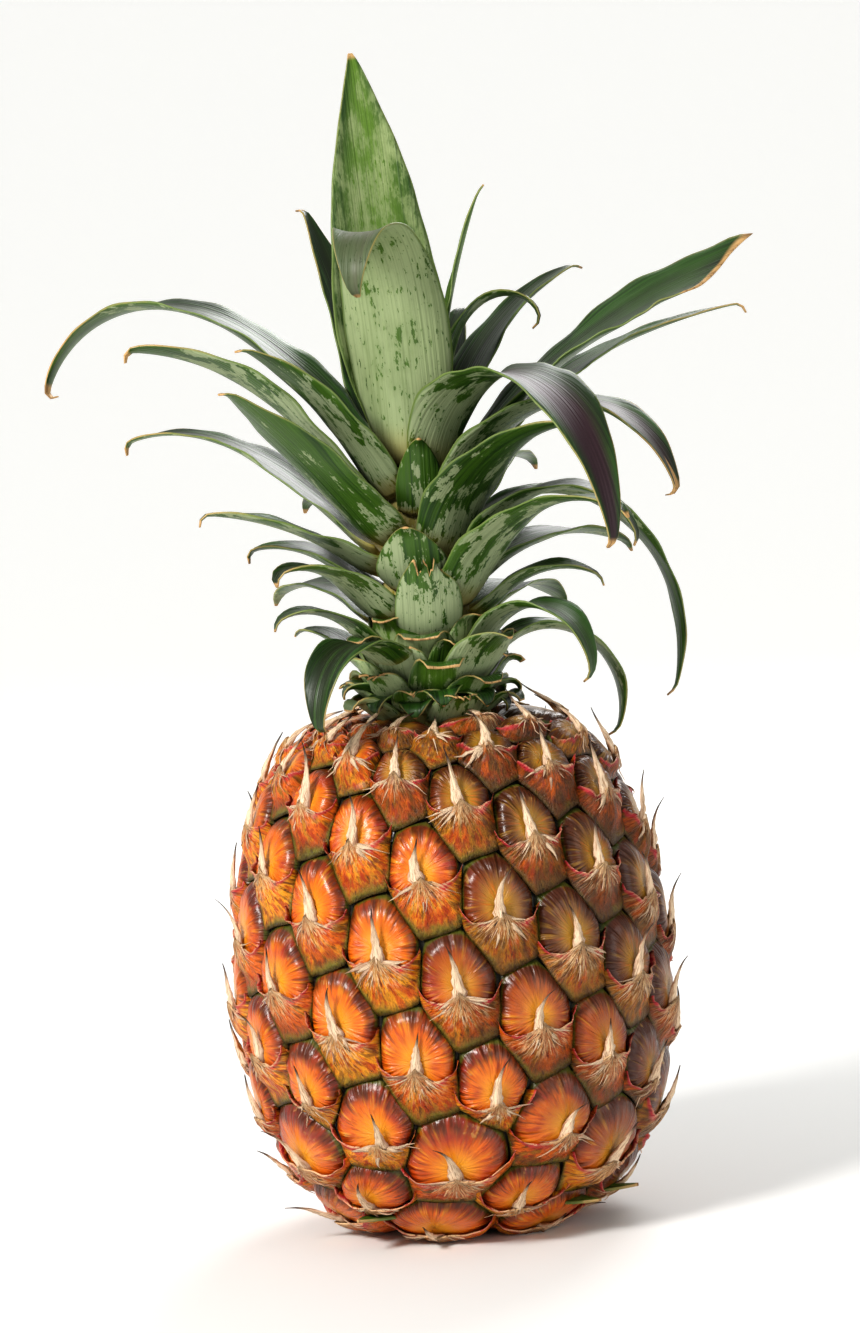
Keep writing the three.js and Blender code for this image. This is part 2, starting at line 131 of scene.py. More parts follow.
class Draw:
    """A repeatable draw between 0 and 1."""

    def __init__(self, seed: int) -> None:
        """Starts the draw.

        Args:
            seed: Where the row of numbers starts.
        """
        self.state = seed

    def __call__(self) -> float:
        """The next number.

        Returns:
            A number from 0 up to 1.
        """
        self.state = (self.state * 1664525 + 1013904223) % 4294967296
        return self.state / 4294967296


# Meshes


@dataclass
class Shape:
    """Points, faces and maps of a mesh that is still being put together."""

    points: list[np.ndarray] = field(default_factory=list)
    faces: list[list[int]] = field(default_factory=list)
    maps: dict[str, list[np.ndarray]] = field(default_factory=dict)
    count: int = 0

    def add(self, points: np.ndarray, faces: np.ndarray, maps: dict[str, np.ndarray]) -> None:
        """Adds a part with its own corners.

        Args:
            points: Corner places in millimetres.
            faces: Corner numbers of each face, counted within this part.
            maps: Two values per corner for each named UV map.
        """
        self.points.append(points.reshape(-1, 3))
        self.faces += [[int(i) + self.count for i in face] for face in faces]
        for name, values in maps.items():
            self.maps.setdefault(name, []).append(values.reshape(-1, 2))
        self.count += len(self.points[-1])

    def sheet(
        self, middle: np.ndarray, normal: np.ndarray, half: np.ndarray, maps: dict[str, np.ndarray]
    ) -> None:
        """Adds a closed sheet around a grid of points.

        Args:
            middle: Grid of points halfway through the sheet.
            normal: Grid of unit vectors across the sheet.
            half: Grid of half thicknesses.
            maps: Two values per grid point for each map, or per point of both faces.
        """
        rows, columns = half.shape
        both = np.stack([middle + normal * half[..., None], middle - normal * half[..., None]])
        full = {}
        for name, values in maps.items():
            full[name] = values if values.ndim == 4 else np.stack([values, values])
        self.add(both, sheet_faces(rows, columns), full)

    def piece(self, name: str, material: bpy.types.Material) -> bpy.types.Object:
        """Makes the mesh object.

        Args:
            name: Name of the object.
            material: Its material.

        Returns:
            The object, shaded smooth.
        """
        points = np.concatenate(self.points) * METRES
        mesh = bpy.data.meshes.new(name)
        mesh.from_pydata(points.tolist(), [], self.faces)
        corners = np.zeros(len(mesh.loops), dtype=np.int32)
        mesh.loops.foreach_get("vertex_index", corners)
        for layer_name, parts in self.maps.items():
            values = np.concatenate(parts)[corners]
            layer = mesh.uv_layers.new(name=layer_name)
            layer.data.foreach_set("uv", values.astype(np.float32).ravel())
        mesh.materials.append(material)
        mesh.shade_smooth()
        mesh.update()
        piece = bpy.data.objects.new(name, mesh)
        bpy.context.collection.objects.link(piece)
        return piece


def sheet_faces(rows: int, columns: int) -> list[list[int]]:
    """Faces of a closed sheet whose upper grid comes first and whose lower grid follows.

    Args:
        rows: Points along the sheet.
        columns: Points across it.

    Returns:
        Corner numbers of every face.
    """
    under = rows * columns
    k, j = np.meshgrid(np.arange(rows - 1), np.arange(columns - 1), indexing="ij")
    a = (k * columns + j).ravel()
    b, c, d = a + 1, a + columns + 1, a + columns
    upper = np.stack([a, d, c, b], axis=1)
    lower = np.stack([a, b, c, d], axis=1) + under
    along = np.arange(rows - 1) * columns
    across = np.arange(columns - 1)
    left = np.stack([along, along + under, along + columns + under, along + columns], axis=1)
    far = along + columns - 1
    right = np.stack([far, far + columns, far + columns + under, far + under], axis=1)
    start = np.stack([across, across + 1, across + 1 + under, across + under], axis=1)
    end = across + (rows - 1) * columns
    stop = np.stack([end, end + under, end + 1 + under, end + 1], axis=1)
    return np.concatenate([upper, lower, left, right, start, stop]).tolist()


def select_only(piece: bpy.types.Object) -> None:
    """Makes one object the only selected and active one.

    Args:
        piece: The object.
    """
    bpy.ops.object.select_all(action="DESELECT")
    piece.select_set(True)
    bpy.context.view_layer.objects.active = piece


def close_up(piece: bpy.types.Object, cut_level: bool = False) -> None:
    """Joins corners in the same place, cuts the mesh off under the floor and turns it outwards.

    Args:
        piece: The object to work on.
        cut_level: Whether what lies under Z = 0 is cut off and closed.
    """
    select_only(piece)
    bpy.ops.object.mode_set(mode="EDIT")
    bpy.ops.mesh.select_all(action="SELECT")
    bpy.ops.mesh.remove_doubles(threshold=2e-6)
    if cut_level:
        bpy.ops.mesh.select_all(action="SELECT")
        bpy.ops.mesh.bisect(
            plane_co=(0.0, 0.0, 2e-6),
            plane_no=(0.0, 0.0, 1.0),
            use_fill=True,
            clear_inner=True,
            threshold=1e-6,
        )
    bpy.ops.mesh.select_all(action="SELECT")
    bpy.ops.mesh.normals_make_consistent(inside=False)
    bpy.ops.object.mode_set(mode="OBJECT")


def cylinder(name: str, radius: float, low: float, high: float, sides: int) -> bpy.types.Object:
    """An upright cylinder on the axis, made at its size and place.

    Args:
        name: Name of the object.
        radius: Radius in millimetres.
        low: Height of its lower end in millimetres.
        high: Height of its upper end in millimetres.
        sides: Number of sides.

    Returns:
        The object, with its place in its mesh.
    """
    bpy.ops.object.select_all(action="DESELECT")
    bpy.ops.mesh.primitive_cylinder_add(
        vertices=sides,
        radius=radius * METRES,
        depth=(high - low) * METRES,
        location=(0.0, 0.0, (low + high) / 2 * METRES),
    )
    made = bpy.context.object
    made.name = name
    bpy.ops.object.transform_apply(location=True, rotation=True, scale=True)
    return made


def hollow(piece: bpy.types.Object, cutter: bpy.types.Object) -> None:
    """Cuts one object out of another and removes the cutter.

    Args:
        piece: The object to cut.
        cutter: The object that is taken away from it.
    """
    select_only(piece)
    modifier = piece.modifiers.new("hollow", "BOOLEAN")
    modifier.operation = "DIFFERENCE"
    modifier.solver = "EXACT"
    modifier.object = cutter
    bpy.ops.object.modifier_apply(modifier=modifier.name)
    bpy.data.objects.remove(cutter)


# Materials


def colour(code: str) -> tuple[float, float, float, float]:
    """A colour for a shader from its six-digit code.

    Args:
        code: Red, green and blue as two hexadecimal digits each.

    Returns:
        Linear red, green, blue and alpha.
    """
    parts = [int(code[k : k + 2], 16) / 255 for k in (0, 2, 4)]
    linear = [c / 12.92 if c <= 0.04045 else ((c + 0.055) / 1.055) ** 2.4 for c in parts]
    return (*linear, 1.0)


class Sock:
    """An output socket of a node tree, with arithmetic that adds Math nodes."""

    def __init__(self, tree: "Tree", socket: bpy.types.NodeSocket) -> None:
        """Wraps a socket.

        Args:
            tree: The tree that it belongs to.
            socket: The output socket.
        """
        self.tree = tree
        self.socket = socket

    def math(self, operation: str, *others: "Sock | float") -> "Sock":
        """Adds a Math node that starts from this socket.

        Args:
            operation: The node's operation.
            others: The other values, as sockets or numbers.

        Returns:
            The node's result.
        """
        return self.tree.math(operation, self, *others)

    def __add__(self, other: "Sock | float") -> "Sock":
        """This plus another.

        Args:
            other: The other value.

        Returns:
            The sum.
        """
        return self.math("ADD", other)

    __radd__ = __add__

    def __sub__(self, other: "Sock | float") -> "Sock":
        """This minus another.

        Args:
            other: The other value.

        Returns:
            The difference.
        """
        return self.math("SUBTRACT", other)

    def __rsub__(self, other: float) -> "Sock":
        """A number minus this.

        Args:
            other: The number.

        Returns:
            The difference.
        """
        return self.tree.math("SUBTRACT", other, self)

    def __mul__(self, other: "Sock | float") -> "Sock":
        """This times another.

        Args:
            other: The other value.

        Returns:
            The product.
        """
        return self.math("MULTIPLY", other)

    __rmul__ = __mul__

    def __truediv__(self, other: "Sock | float") -> "Sock":
        """This divided by another.

        Args:
            other: The other value.

        Returns:
            The quotient.
        """
        return self.math("DIVIDE", other)

    def __rtruediv__(self, other: float) -> "Sock":
        """A number divided by this.

        Args:
            other: The number.

        Returns:
            The quotient.
        """
        return self.tree.math("DIVIDE", other, self)

    def __pow__(self, other: "Sock | float") -> "Sock":
        """This to a power.

        Args:
            other: The power.

        Returns:
            The result.
        """
        return self.math("POWER", other)

    def __abs__(self) -> "Sock":
        """The size of this without its sign.

        Returns:
            The absolute value.
        """
        return self.math("ABSOLUTE")

    def step(self, low: float, high: float) -> "Sock":
        """A soft step of this value; with low over high it falls instead.

        Args:
            low: Where the result is 0.
            high: Where the result is 1.

        Returns:
            A value from 0 to 1.
        """
        made = self.tree.node(
            "ShaderNodeMapRange",
            {"interpolation_type": "SMOOTHSTEP"},
            {"Value": self, "From Min": min(low, high), "From Max": max(low, high)},
        )
        result = Sock(self.tree, made.outputs["Result"])
        return result if low < high else 1.0 - result


class Tree:
    """The node tree of one material, built by short calls."""

    def __init__(self, name: str) -> None:
        """Makes the material with an empty tree.

        Args:
            name: Name of the material.
        """
        self.material = bpy.data.materials.new(name)
        self.material.use_nodes = True
        self.nodes = self.material.node_tree.nodes
        self.links = self.material.node_tree.links
        self.nodes.clear()

    def node(self, kind: str, settings: dict, inputs: dict) -> bpy.types.Node:
        """Adds a node.

        Args:
            kind: Type name of the node.
            settings: Its properties, set first.
            inputs: Values or sockets for its inputs, by name or number.

        Returns:
            The node.
        """
        made = self.nodes.new(kind)
        for name, value in settings.items():
            setattr(made, name, value)
        for name, value in inputs.items():
            if isinstance(value, Sock):
                self.links.new(value.socket, made.inputs[name])
            else:
                made.inputs[name].default_value = value
        return made

    def math(self, operation: str, *values: "Sock | float") -> Sock:
        """Adds a Math node.

        Args:
            operation: The node's operation.
            values: Its inputs.

        Returns:
            The result.
        """
        made = self.node("ShaderNodeMath", {"operation": operation}, dict(enumerate(values)))
        return Sock(self, made.outputs["Value"])

    def uv(self, name: str) -> tuple[Sock, Sock]:
        """The two values of a UV map.

        Args:
            name: Name of the map.

        Returns:
            Its first and its second value.
        """
        made = self.node("ShaderNodeUVMap", {"uv_map": name}, {})
        return self.split(Sock(self, made.outputs["UV"]))[:2]

    def split(self, vector: Sock) -> tuple[Sock, Sock, Sock]:
        """The three parts of a vector.

        Args:
            vector: The vector.

        Returns:
            Its X, Y and Z.
        """
        made = self.node("ShaderNodeSeparateXYZ", {}, {"Vector": vector})
        return tuple(Sock(self, made.outputs[axis]) for axis in "XYZ")

    def join(self, x: "Sock | float", y: "Sock | float", z: "Sock | float") -> Sock:
        """A vector from three values.

        Args:
            x: The first value.
            y: The second value.
            z: The third value.

        Returns:
            The vector.
        """
        made = self.node("ShaderNodeCombineXYZ", {}, {"X": x, "Y": y, "Z": z})
        return Sock(self, made.outputs["Vector"])

    def place(self) -> tuple[Sock, Sock, Sock]:
        """The place on the object in decimetres, so that noises need no large scales.

        Returns:
            X, Y and Z.
        """
        made = self.node("ShaderNodeTexCoord", {}, {})
        x, y, z = self.split(Sock(self, made.outputs["Object"]))
        return x * 10.0, y * 10.0, z * 10.0

    def noise(self, vector: Sock, scale: float, detail: float = 2.0, rough: float = 0.5) -> Sock:
        """Soft noise around one half.

        Args:
            vector: Where to look.
            scale: How fine it is.
            detail: How many finer layers it has.
            rough: How strong these are.

        Returns:
            A value that is mostly between 0.25 and 0.75.
        """
        inputs = {"Vector": vector, "Scale": scale, "Detail": detail, "Roughness": rough}
        made = self.node("ShaderNodeTexNoise", {"noise_dimensions": "3D"}, inputs)
        return Sock(self, made.outputs["Fac"])

    def blend(self, a: "Sock | tuple", b: "Sock | tuple", factor: "Sock | float") -> Sock:
        """Mixes two colours.

        Args:
            a: The colour at factor 0.
            b: The colour at factor 1.
            factor: How much of the second one.

        Returns:
            The mixed colour.
        """
        settings = {"data_type": "RGBA", "clamp_factor": True}
        made = self.node("ShaderNodeMix", settings, {0: factor, 6: a, 7: b})
        return Sock(self, made.outputs[2])

    def bump(self, height: Sock, distance: float, strength: float = 1.0) -> Sock:
        """A normal that follows a height.

        Args:
            height: The height from 0 to 1.
            distance: Metres that a height of 1 stands for.
            strength: How strongly it shows.

        Returns:
            The normal.
        """
        inputs = {"Height": height, "Distance": distance, "Strength": strength}
        return Sock(self, self.node("ShaderNodeBump", {}, inputs).outputs["Normal"])

    def surface(self, inputs: dict) -> bpy.types.Material:
        """Closes the tree with a Principled shader.

        Args:
            inputs: Values or sockets for the shader's inputs.

        Returns:
            The material.
        """
        shader = self.node("ShaderNodeBsdfPrincipled", {}, inputs)
        output = self.node("ShaderNodeOutputMaterial", {}, {})
        self.links.new(shader.outputs["BSDF"], output.inputs["Surface"])
        return self.material


def darker_and_shaded_side(t: Tree, seed: Sock) -> tuple[Sock, Sock]:
    """Where the fruit is darker: to its right and near its top, partly its own darker colour and partly
    painted shade, as the light falls from the upper left.

    Args:
        t: The tree that asks.
        seed: A value of each eye, so that neighbours differ.

    Returns:
        How dark it is there, and the height in decimetres.
    """
    px, py, pz = t.place()
    cloud = t.noise(t.join(px, py, pz), 2.4, 2.0)
    rise = (pz - 0.85) * 0.7 + (pz - 0.85).math("MAXIMUM", 0.0) * 0.7
    # Own darker colour and painted shade in one mask: darker to the right, away from the light, and
    # towards the top.
    dark = px * 2.5 + rise + (cloud - 0.5) * 1.4 + (seed - 0.5) * 0.7
    return dark.step(0.06, 0.8), pz


@dataclass(frozen=True)
class FruitFinish:
    """Colours of the eyes' domes and of the valleys between them, with painted shade in the valleys, on
    the domes' upper rims and on the fruit's darker side.
    """

    yellow: str = "EFA024"
    orange: str = "D6660E"
    red: str = "A4300A"
    crimson: str = "98202C"
    rust_and_shade: str = "4A220E"
    gold: str = "B0862A"
    brown: str = "5A3A18"
    maroon: str = "541E16"
    black: str = "1E120C"
    edge: str = "4E5A1C"
    valley_shadow: str = "141206"
    flesh: str = "B9924E"

    def make(self) -> bpy.types.Material:
        """Builds the material from the maps "eye" and "kind".

        Returns:
            The material.
        """
        t = Tree("fruit_skin")
        x, y = t.uv("eye")
        share, seed = t.uv("kind")
        reach = ((x * x + y * y) ** 0.5).math("MAXIMUM", 0.02)
        ray_x, ray_y = x / reach, y / reach
        rays = t.noise(t.join(ray_x * 3.2, ray_y * 3.2, reach * 0.9 + seed * 31.0), 1.6, 3.0, 0.6)
        ridge = t.noise(t.join(ray_x * 5.0, ray_y * 5.0, reach * 0.5 + seed * 57.0), 1.7, 1.0, 0.5)
        px, py, pz = t.place()
        spots = t.noise(t.join(px, py, pz), 22.0, 3.0, 0.6)
        patch = t.noise(t.join(x * 0.9, y * 0.9, seed * 83.0), 1.3, 1.0)
        shade, height = darker_and_shaded_side(t, seed)
        outer = share.step(0.35, 0.75)
        warm = t.blend(colour(self.yellow), colour(self.orange), share.step(0.05, 0.6))
        warm = t.blend(warm, colour(self.red), (share + (seed - 0.5) * 0.4).step(0.6, 1.05) * 0.8)
        warm = t.blend(warm, colour(self.red), rays.step(0.5, 0.66) * share.step(0.15, 0.6) * 0.7)
        warm = t.blend(warm, colour(self.yellow), ridge.step(0.55, 0.68) * outer * 0.55)
        warm = t.blend(warm, colour(self.rust_and_shade), ridge.step(0.42, 0.3) * outer * 0.7)
        blush = patch.step(0.54, 0.66) * share.step(0.2, 0.7)
        warm = t.blend(warm, colour(self.crimson), blush * 0.6)
        # Colours of the darker side, partly the fruit's own olive, brown and maroon and partly painted
        # shade, going near black towards the domes' rims.
        deep = t.blend(colour(self.gold), colour(self.brown), share.step(0.15, 0.65))
        deep = t.blend(deep, colour(self.maroon), height.step(1.0, 0.5) * share.step(0.0, 0.5) * 0.7)
        deep = t.blend(deep, colour(self.black), share.step(0.45, 0.85) * 0.85)
        deep = t.blend(deep, colour(self.orange), rays.step(0.5, 0.68) * share.step(0.85, 0.2) * 0.5)
        deep = t.blend(deep, colour(self.gold), ridge.step(0.55, 0.7) * outer * 0.4)
        base = t.blend(warm, deep, shade * 0.92)
        # Painted shade on each dome's upper rim, a little more on its right, where the edge of the bract
        # above shades it.
        top = (share + y * 0.16 + x * 0.06 + (patch - 0.5) * 0.4).step(0.66, 1.0)
        base = t.blend(base, colour(self.rust_and_shade), top * (rays.step(0.68, 0.42) * 0.5 + 0.42))
        worn = (spots + rays * 0.5).step(0.9, 0.98) * outer
        base = t.blend(base, colour(self.flesh), worn * 0.5)
        base = t.blend(base, colour(self.edge), share.step(0.9, 0.935) * spots.step(0.3, 0.5) * 0.8)
        # Painted shadow in the grooves between the eyes: darkest along the top of each dome, browner along
        # its lower sides.
        upper = (y + (spots - 0.5) * 0.9).step(-0.35, 0.15)
        shaded_groove = t.blend(colour(self.rust_and_shade), colour(self.valley_shadow), upper)
        base = t.blend(base, shaded_groove, share.step(0.935, 0.97))
        base = t.blend(base, colour(self.flesh), pz.step(0.012, 0.004))
        relief = rays * 0.3 + ridge * outer * 0.6 + spots * 0.12
        return t.surface(
            {
                "Base Color": base,
                "Roughness": 0.26 + spots * 0.2 + share.step(0.93, 0.97) * 0.4,
                "Specular IOR Level": 0.38,
                "Coat Weight": 0.24,
                "Coat Roughness": 0.18,
                "Normal": t.bump(relief, 0.0022, 1.0),
            }
        )


@dataclass(frozen=True)
class BractFinish:
    """Colours of the bracts that cover the lower half of each eye, with painted shade on the fruit's
    darker side and along the bracts' lower edges.
    """

    gold: str = "F0A020"
    body: str = "D4640C"
    low: str = "6A6A1C"
    red: str = "A02C0A"
    blush: str = "C0243C"
    tan: str = "C08A5A"
    fibre: str = "E6C294"
    crack_and_edge_shade: str = "2E140A"
    brown: str = "50260F"
    side_brown_and_shade: str = "4E2E10"

    def make(self) -> bpy.types.Material:
        """Builds the material from the maps "eye", "bract" and "kind".

        Returns:
            The material.
        """
        t = Tree("bracts")
        x, y = t.uv("eye")
        across, up = t.uv("bract")
        seed, _ = t.uv("kind")
        y = y + 0.16
        reach = ((x * x + y * y) ** 0.5).math("MAXIMUM", 0.04)
        ray_x, ray_y = x / reach, y / reach
        broad = t.noise(t.join(ray_x * 2.6, ray_y * 2.6, reach * 0.9 + seed * 61.0), 1.8, 2.0, 0.6)
        rays = t.noise(t.join(ray_x * 3.8, ray_y * 3.8, reach * 1.2 + seed * 23.0), 2.0, 3.0, 0.65)
        fine = t.noise(t.join(ray_x * 8.0, ray_y * 8.0, reach * 1.8 + seed * 41.0), 2.2, 3.0, 0.7)
        px, py, pz = t.place()
        spots = t.noise(t.join(px, py, pz), 17.0, 3.0, 0.6)
        shade, _ = darker_and_shaded_side(t, seed)
        wide = abs(across)
        mood = t.noise(t.join(seed * 91.0, seed * 57.0, 0.5), 1.0, 0.0)
        base = t.blend(colour(self.gold), colour(self.body), (broad + (mood - 0.5) * 0.5).step(0.4, 0.58))
        base = t.blend(base, colour(self.red), rays.step(0.5, 0.62) * 0.8)
        base = t.blend(base, colour(self.brown), broad.step(0.47, 0.36) * (wide * 0.5 + 0.4))
        under = (up + (spots - 0.5) * 0.7 + (rays - 0.5) * 0.9).step(0.5, 0.0)
        base = t.blend(base, colour(self.brown), under * (mood.step(0.3, 0.62) * 0.5 + 0.3))
        base = t.blend(base, colour(self.low), (up + (spots - 0.5) * 0.4).step(0.22, 0.0) * 0.85)
        # The darker side: partly the bracts' own brown and partly painted shade.
        base = t.blend(base, colour(self.side_brown_and_shade), shade * broad.step(0.85, 0.4) * 0.82)
        near = reach.step(1.1, 0.25)
        pale = (reach + (rays - 0.5) * 0.9).step(0.75, 0.3)
        base = t.blend(base, colour(self.tan), pale * 0.65)
        wing = spots.step(0.3, 0.46) * wide.step(0.16, 0.5)
        base = t.blend(base, colour(self.blush), wing * up.step(0.68, 0.9) * 0.85)
        fibre = fine.step(0.49, 0.58) * near
        base = t.blend(base, colour(self.crack_and_edge_shade), rays.step(0.44, 0.35) * (near * 0.6 + 0.4))
        base = t.blend(base, colour(self.fibre), fibre * 0.95)
        rim = up.step(0.88, 0.98) * (1.0 - wide.step(0.4, 1.0) * 0.7)
        base = t.blend(base, colour(self.fibre), rim * fine.step(0.38, 0.5) * 0.85)
        base = t.blend(base, colour(self.crack_and_edge_shade), fine.step(0.39, 0.3) * 0.8)
        # Painted shade along the bract's lower edge, where it lies over the dome below.
        base = t.blend(base, colour(self.crack_and_edge_shade), (up + (spots - 0.5) * 0.12).step(0.09, 0.0) * 0.7)
        return t.surface(
            {
                "Base Color": base,
                "Roughness": 0.36 + fibre * 0.3 + spots * 0.14,
                "Specular IOR Level": 0.32,
                "Coat Weight": 0.08,
                "Coat Roughness": 0.25,
                "Normal": t.bump(rays * 0.6 + fine * 0.4, 0.0018, 1.0),
            }
        )


@dataclass(frozen=True)
class SpineFinish:
    """Colours of the dry papery spines and shreds, with painted shade on the spines' right side."""

    root: str = "8E4A30"
    paper: str = "F6DAB8"
    streak: str = "A8744A"
    shaded_groove: str = "6A2A22"
    tip: str = "3A2214"

    def make(self) -> bpy.types.Material:
        """Builds the material from the maps "strip" and "kind".

        Returns:
            The material.
        """
        t = Tree("dry_spines")
        across, along = t.uv("strip")
        seed, thin = t.uv("kind")
        lines = t.noise(t.join(across * 3.4, along * 1.6, seed * 19.0), 2.2, 4.0, 0.68)
        base = t.blend(colour(self.streak), colour(self.paper), along.step(0.0, 0.2))
        base = t.blend(base, colour(self.streak), lines.step(0.47, 0.62) * 0.8)
        # Painted shade on the spine's right side towards its root, away from the light.
        base = t.blend(base, colour(self.shaded_groove), across.step(0.45, 1.0) * along.step(0.6, 0.1) * 0.55)
        base = t.blend(base, colour(self.root), abs(across).step(0.8, 1.0) * 0.3)
        base = t.blend(base, colour(self.root), seed.step(0.75, 0.95) * (1.0 - thin) * 0.8)
        base = t.blend(base, colour(self.tip), along.step(0.66, 0.92) * thin)
        return t.surface(
            {"Base Color": base, "Roughness": 0.62, "Normal": t.bump(lines, 0.0006, 0.9)}
        )


@dataclass(frozen=True)
class LeafFinish:
    """Colours of the crown's leaves, whose undersides carry a pale bloom."""

    upper: str = "142A0A"
    upper_light: str = "30541A"
    purple: str = "301C22"
    under: str = "3E5E1A"
    under_dark: str = "203C10"
    fresh: str = "688E26"
    bloom: str = "96A27C"
    bloom_dark: str = "64744C"
    bloom_fresh: str = "9EAE74"
    margin: str = "8A9A58"
    base: str = "B39A48"
    dry: str = "C09A66"
    dry_dark: str = "553820"

    def make(self) -> bpy.types.Material:
        """Builds the material from the maps "leaf", "size", "side", "look" and "coat".

        Returns:
            The material.
        """
        t = Tree("leaf_green")
        across, along = t.uv("leaf")
        wide, far = t.uv("size")
        side, seed = t.uv("side")
        dry, purple = t.uv("look")
        coat, fresh = t.uv("coat")
        lines = t.noise(t.join(wide * 105.0, far * 1.2, seed * 13.0), 1.0, 2.0, 0.6)
        veins = t.noise(t.join(wide * 190.0, far * 1.5, seed * 29.0), 1.0, 1.0, 0.5)
        cloud = t.noise(t.join(wide * 3.2, far * 1.1, seed * 7.0), 1.6, 3.0, 0.62)
        patch = t.noise(t.join(wide * 17.0, far * 7.0, seed * 17.0), 1.6, 4.0, 0.7)
        scratch = t.noise(t.join(wide * 60.0, far * 16.0, seed * 37.0), 1.6, 3.0, 0.7)
        edge = abs(across)
        top = t.blend(colour(self.upper), colour(self.upper_light), (lines + cloud - 0.5).step(0.38, 0.72))
        band = edge.step(0.98, 0.3) * purple * cloud.step(0.25, 0.5)
        top = t.blend(top, colour(self.purple), band)
        low = t.blend(colour(self.under), colour(self.under_dark), (lines + cloud - 0.5).step(0.4, 0.75))
        low = t.blend(low, colour(self.fresh), fresh * edge.step(1.0, 0.2) * 0.9)
        worn = patch * 0.6 + cloud * 0.5 + along * 0.14 + lines * 0.08 - coat * 0.16
        rubbed = worn.step(0.625, 0.645) * (1.0 - fresh) + worn.step(0.5, 0.72) * fresh
        bloom = (1.0 - rubbed) * edge.step(0.995, 0.93) * scratch.step(0.66, 0.6)
        mist = t.blend(colour(self.bloom), colour(self.bloom_dark), veins.step(0.45, 0.75) * 0.5)
        mist = t.blend(mist, colour(self.bloom_dark), cloud.step(0.45, 0.75) * 0.6)
        mist = t.blend(mist, colour(self.bloom_fresh), fresh)
        low = t.blend(low, mist, bloom * 0.93)
        base = t.blend(low, top, side * (1.0 - fresh * 0.9))
        base = t.blend(base, colour(self.margin), edge.step(0.95, 1.0) * 0.5)
        base = t.blend(base, colour(self.base), along.step(0.14, 0.0) * 0.6)
        ragged = along + (cloud - 0.5) * 0.05 + dry * 0.028
        wilt = ragged.step(0.985, 1.0)
        rim = edge.step(0.93, 0.99) * (along + (patch - 0.5) * 0.5).step(0.6, 0.95) * dry
        base = t.blend(base, colour(self.dry), wilt + rim * 0.8)
        base = t.blend(base, colour(self.dry_dark), wilt * lines.step(0.5, 0.62) * 0.6)
        relief = lines * 0.45 + veins * 0.4 + patch * 0.15
        return t.surface(
            {
                "Base Color": base,
                "Roughness": 0.4 + bloom * (1.0 - side) * 0.2 + wilt * 0.25 + side * purple * 0.14,
                "Specular IOR Level": 0.36,
                "Coat Weight": 0.06,
                "Coat Roughness": 0.3,
                "Normal": t.bump(relief, 0.0006, 0.8),
            }
        )


@dataclass(frozen=True)
class WoodFinish:
    """Colours of the stalk's dry cut end."""

    light: str = "C2A56C"
    dark: str = "7A5A30"

    def make(self) -> bpy.types.Material:
        """Builds the material from the place on the object.

        Returns:
            The material.
        """
        t = Tree("cut_stalk")
        px, py, pz = t.place()
        pores = t.noise(t.join(px, py, pz * 0.2), 70.0, 3.0, 0.6)
        base = t.blend(colour(self.dark), colour(self.light), pores.step(0.36, 0.6))
        return t.surface(
            {"Base Color": base, "Roughness": 0.85, "Normal": t.bump(pores, 0.0008, 0.8)}
        )


@dataclass(frozen=True)
class FloorFinish:
    """The pale floor, a little brighter far from the object."""

    near: str = "E6E6E4"
    far: str = "A8A8A6"

    def make(self) -> bpy.types.Material:
        """Builds the material from the place on the floor.

        Returns:
            The material.
        """
        t = Tree("floor")
        px, py, _ = t.place()
        glow = ((px * px + py * py) ** 0.5).step(1.0, 18.0)
        return t.surface(
            {
                "Base Color": colour(self.near),
                "Roughness": 0.8,
                "Emission Color": t.blend((0.0, 0.0, 0.0, 1.0), colour(self.far), glow),
                "Emission Strength": 1.0,
            }
        )


# Fruit


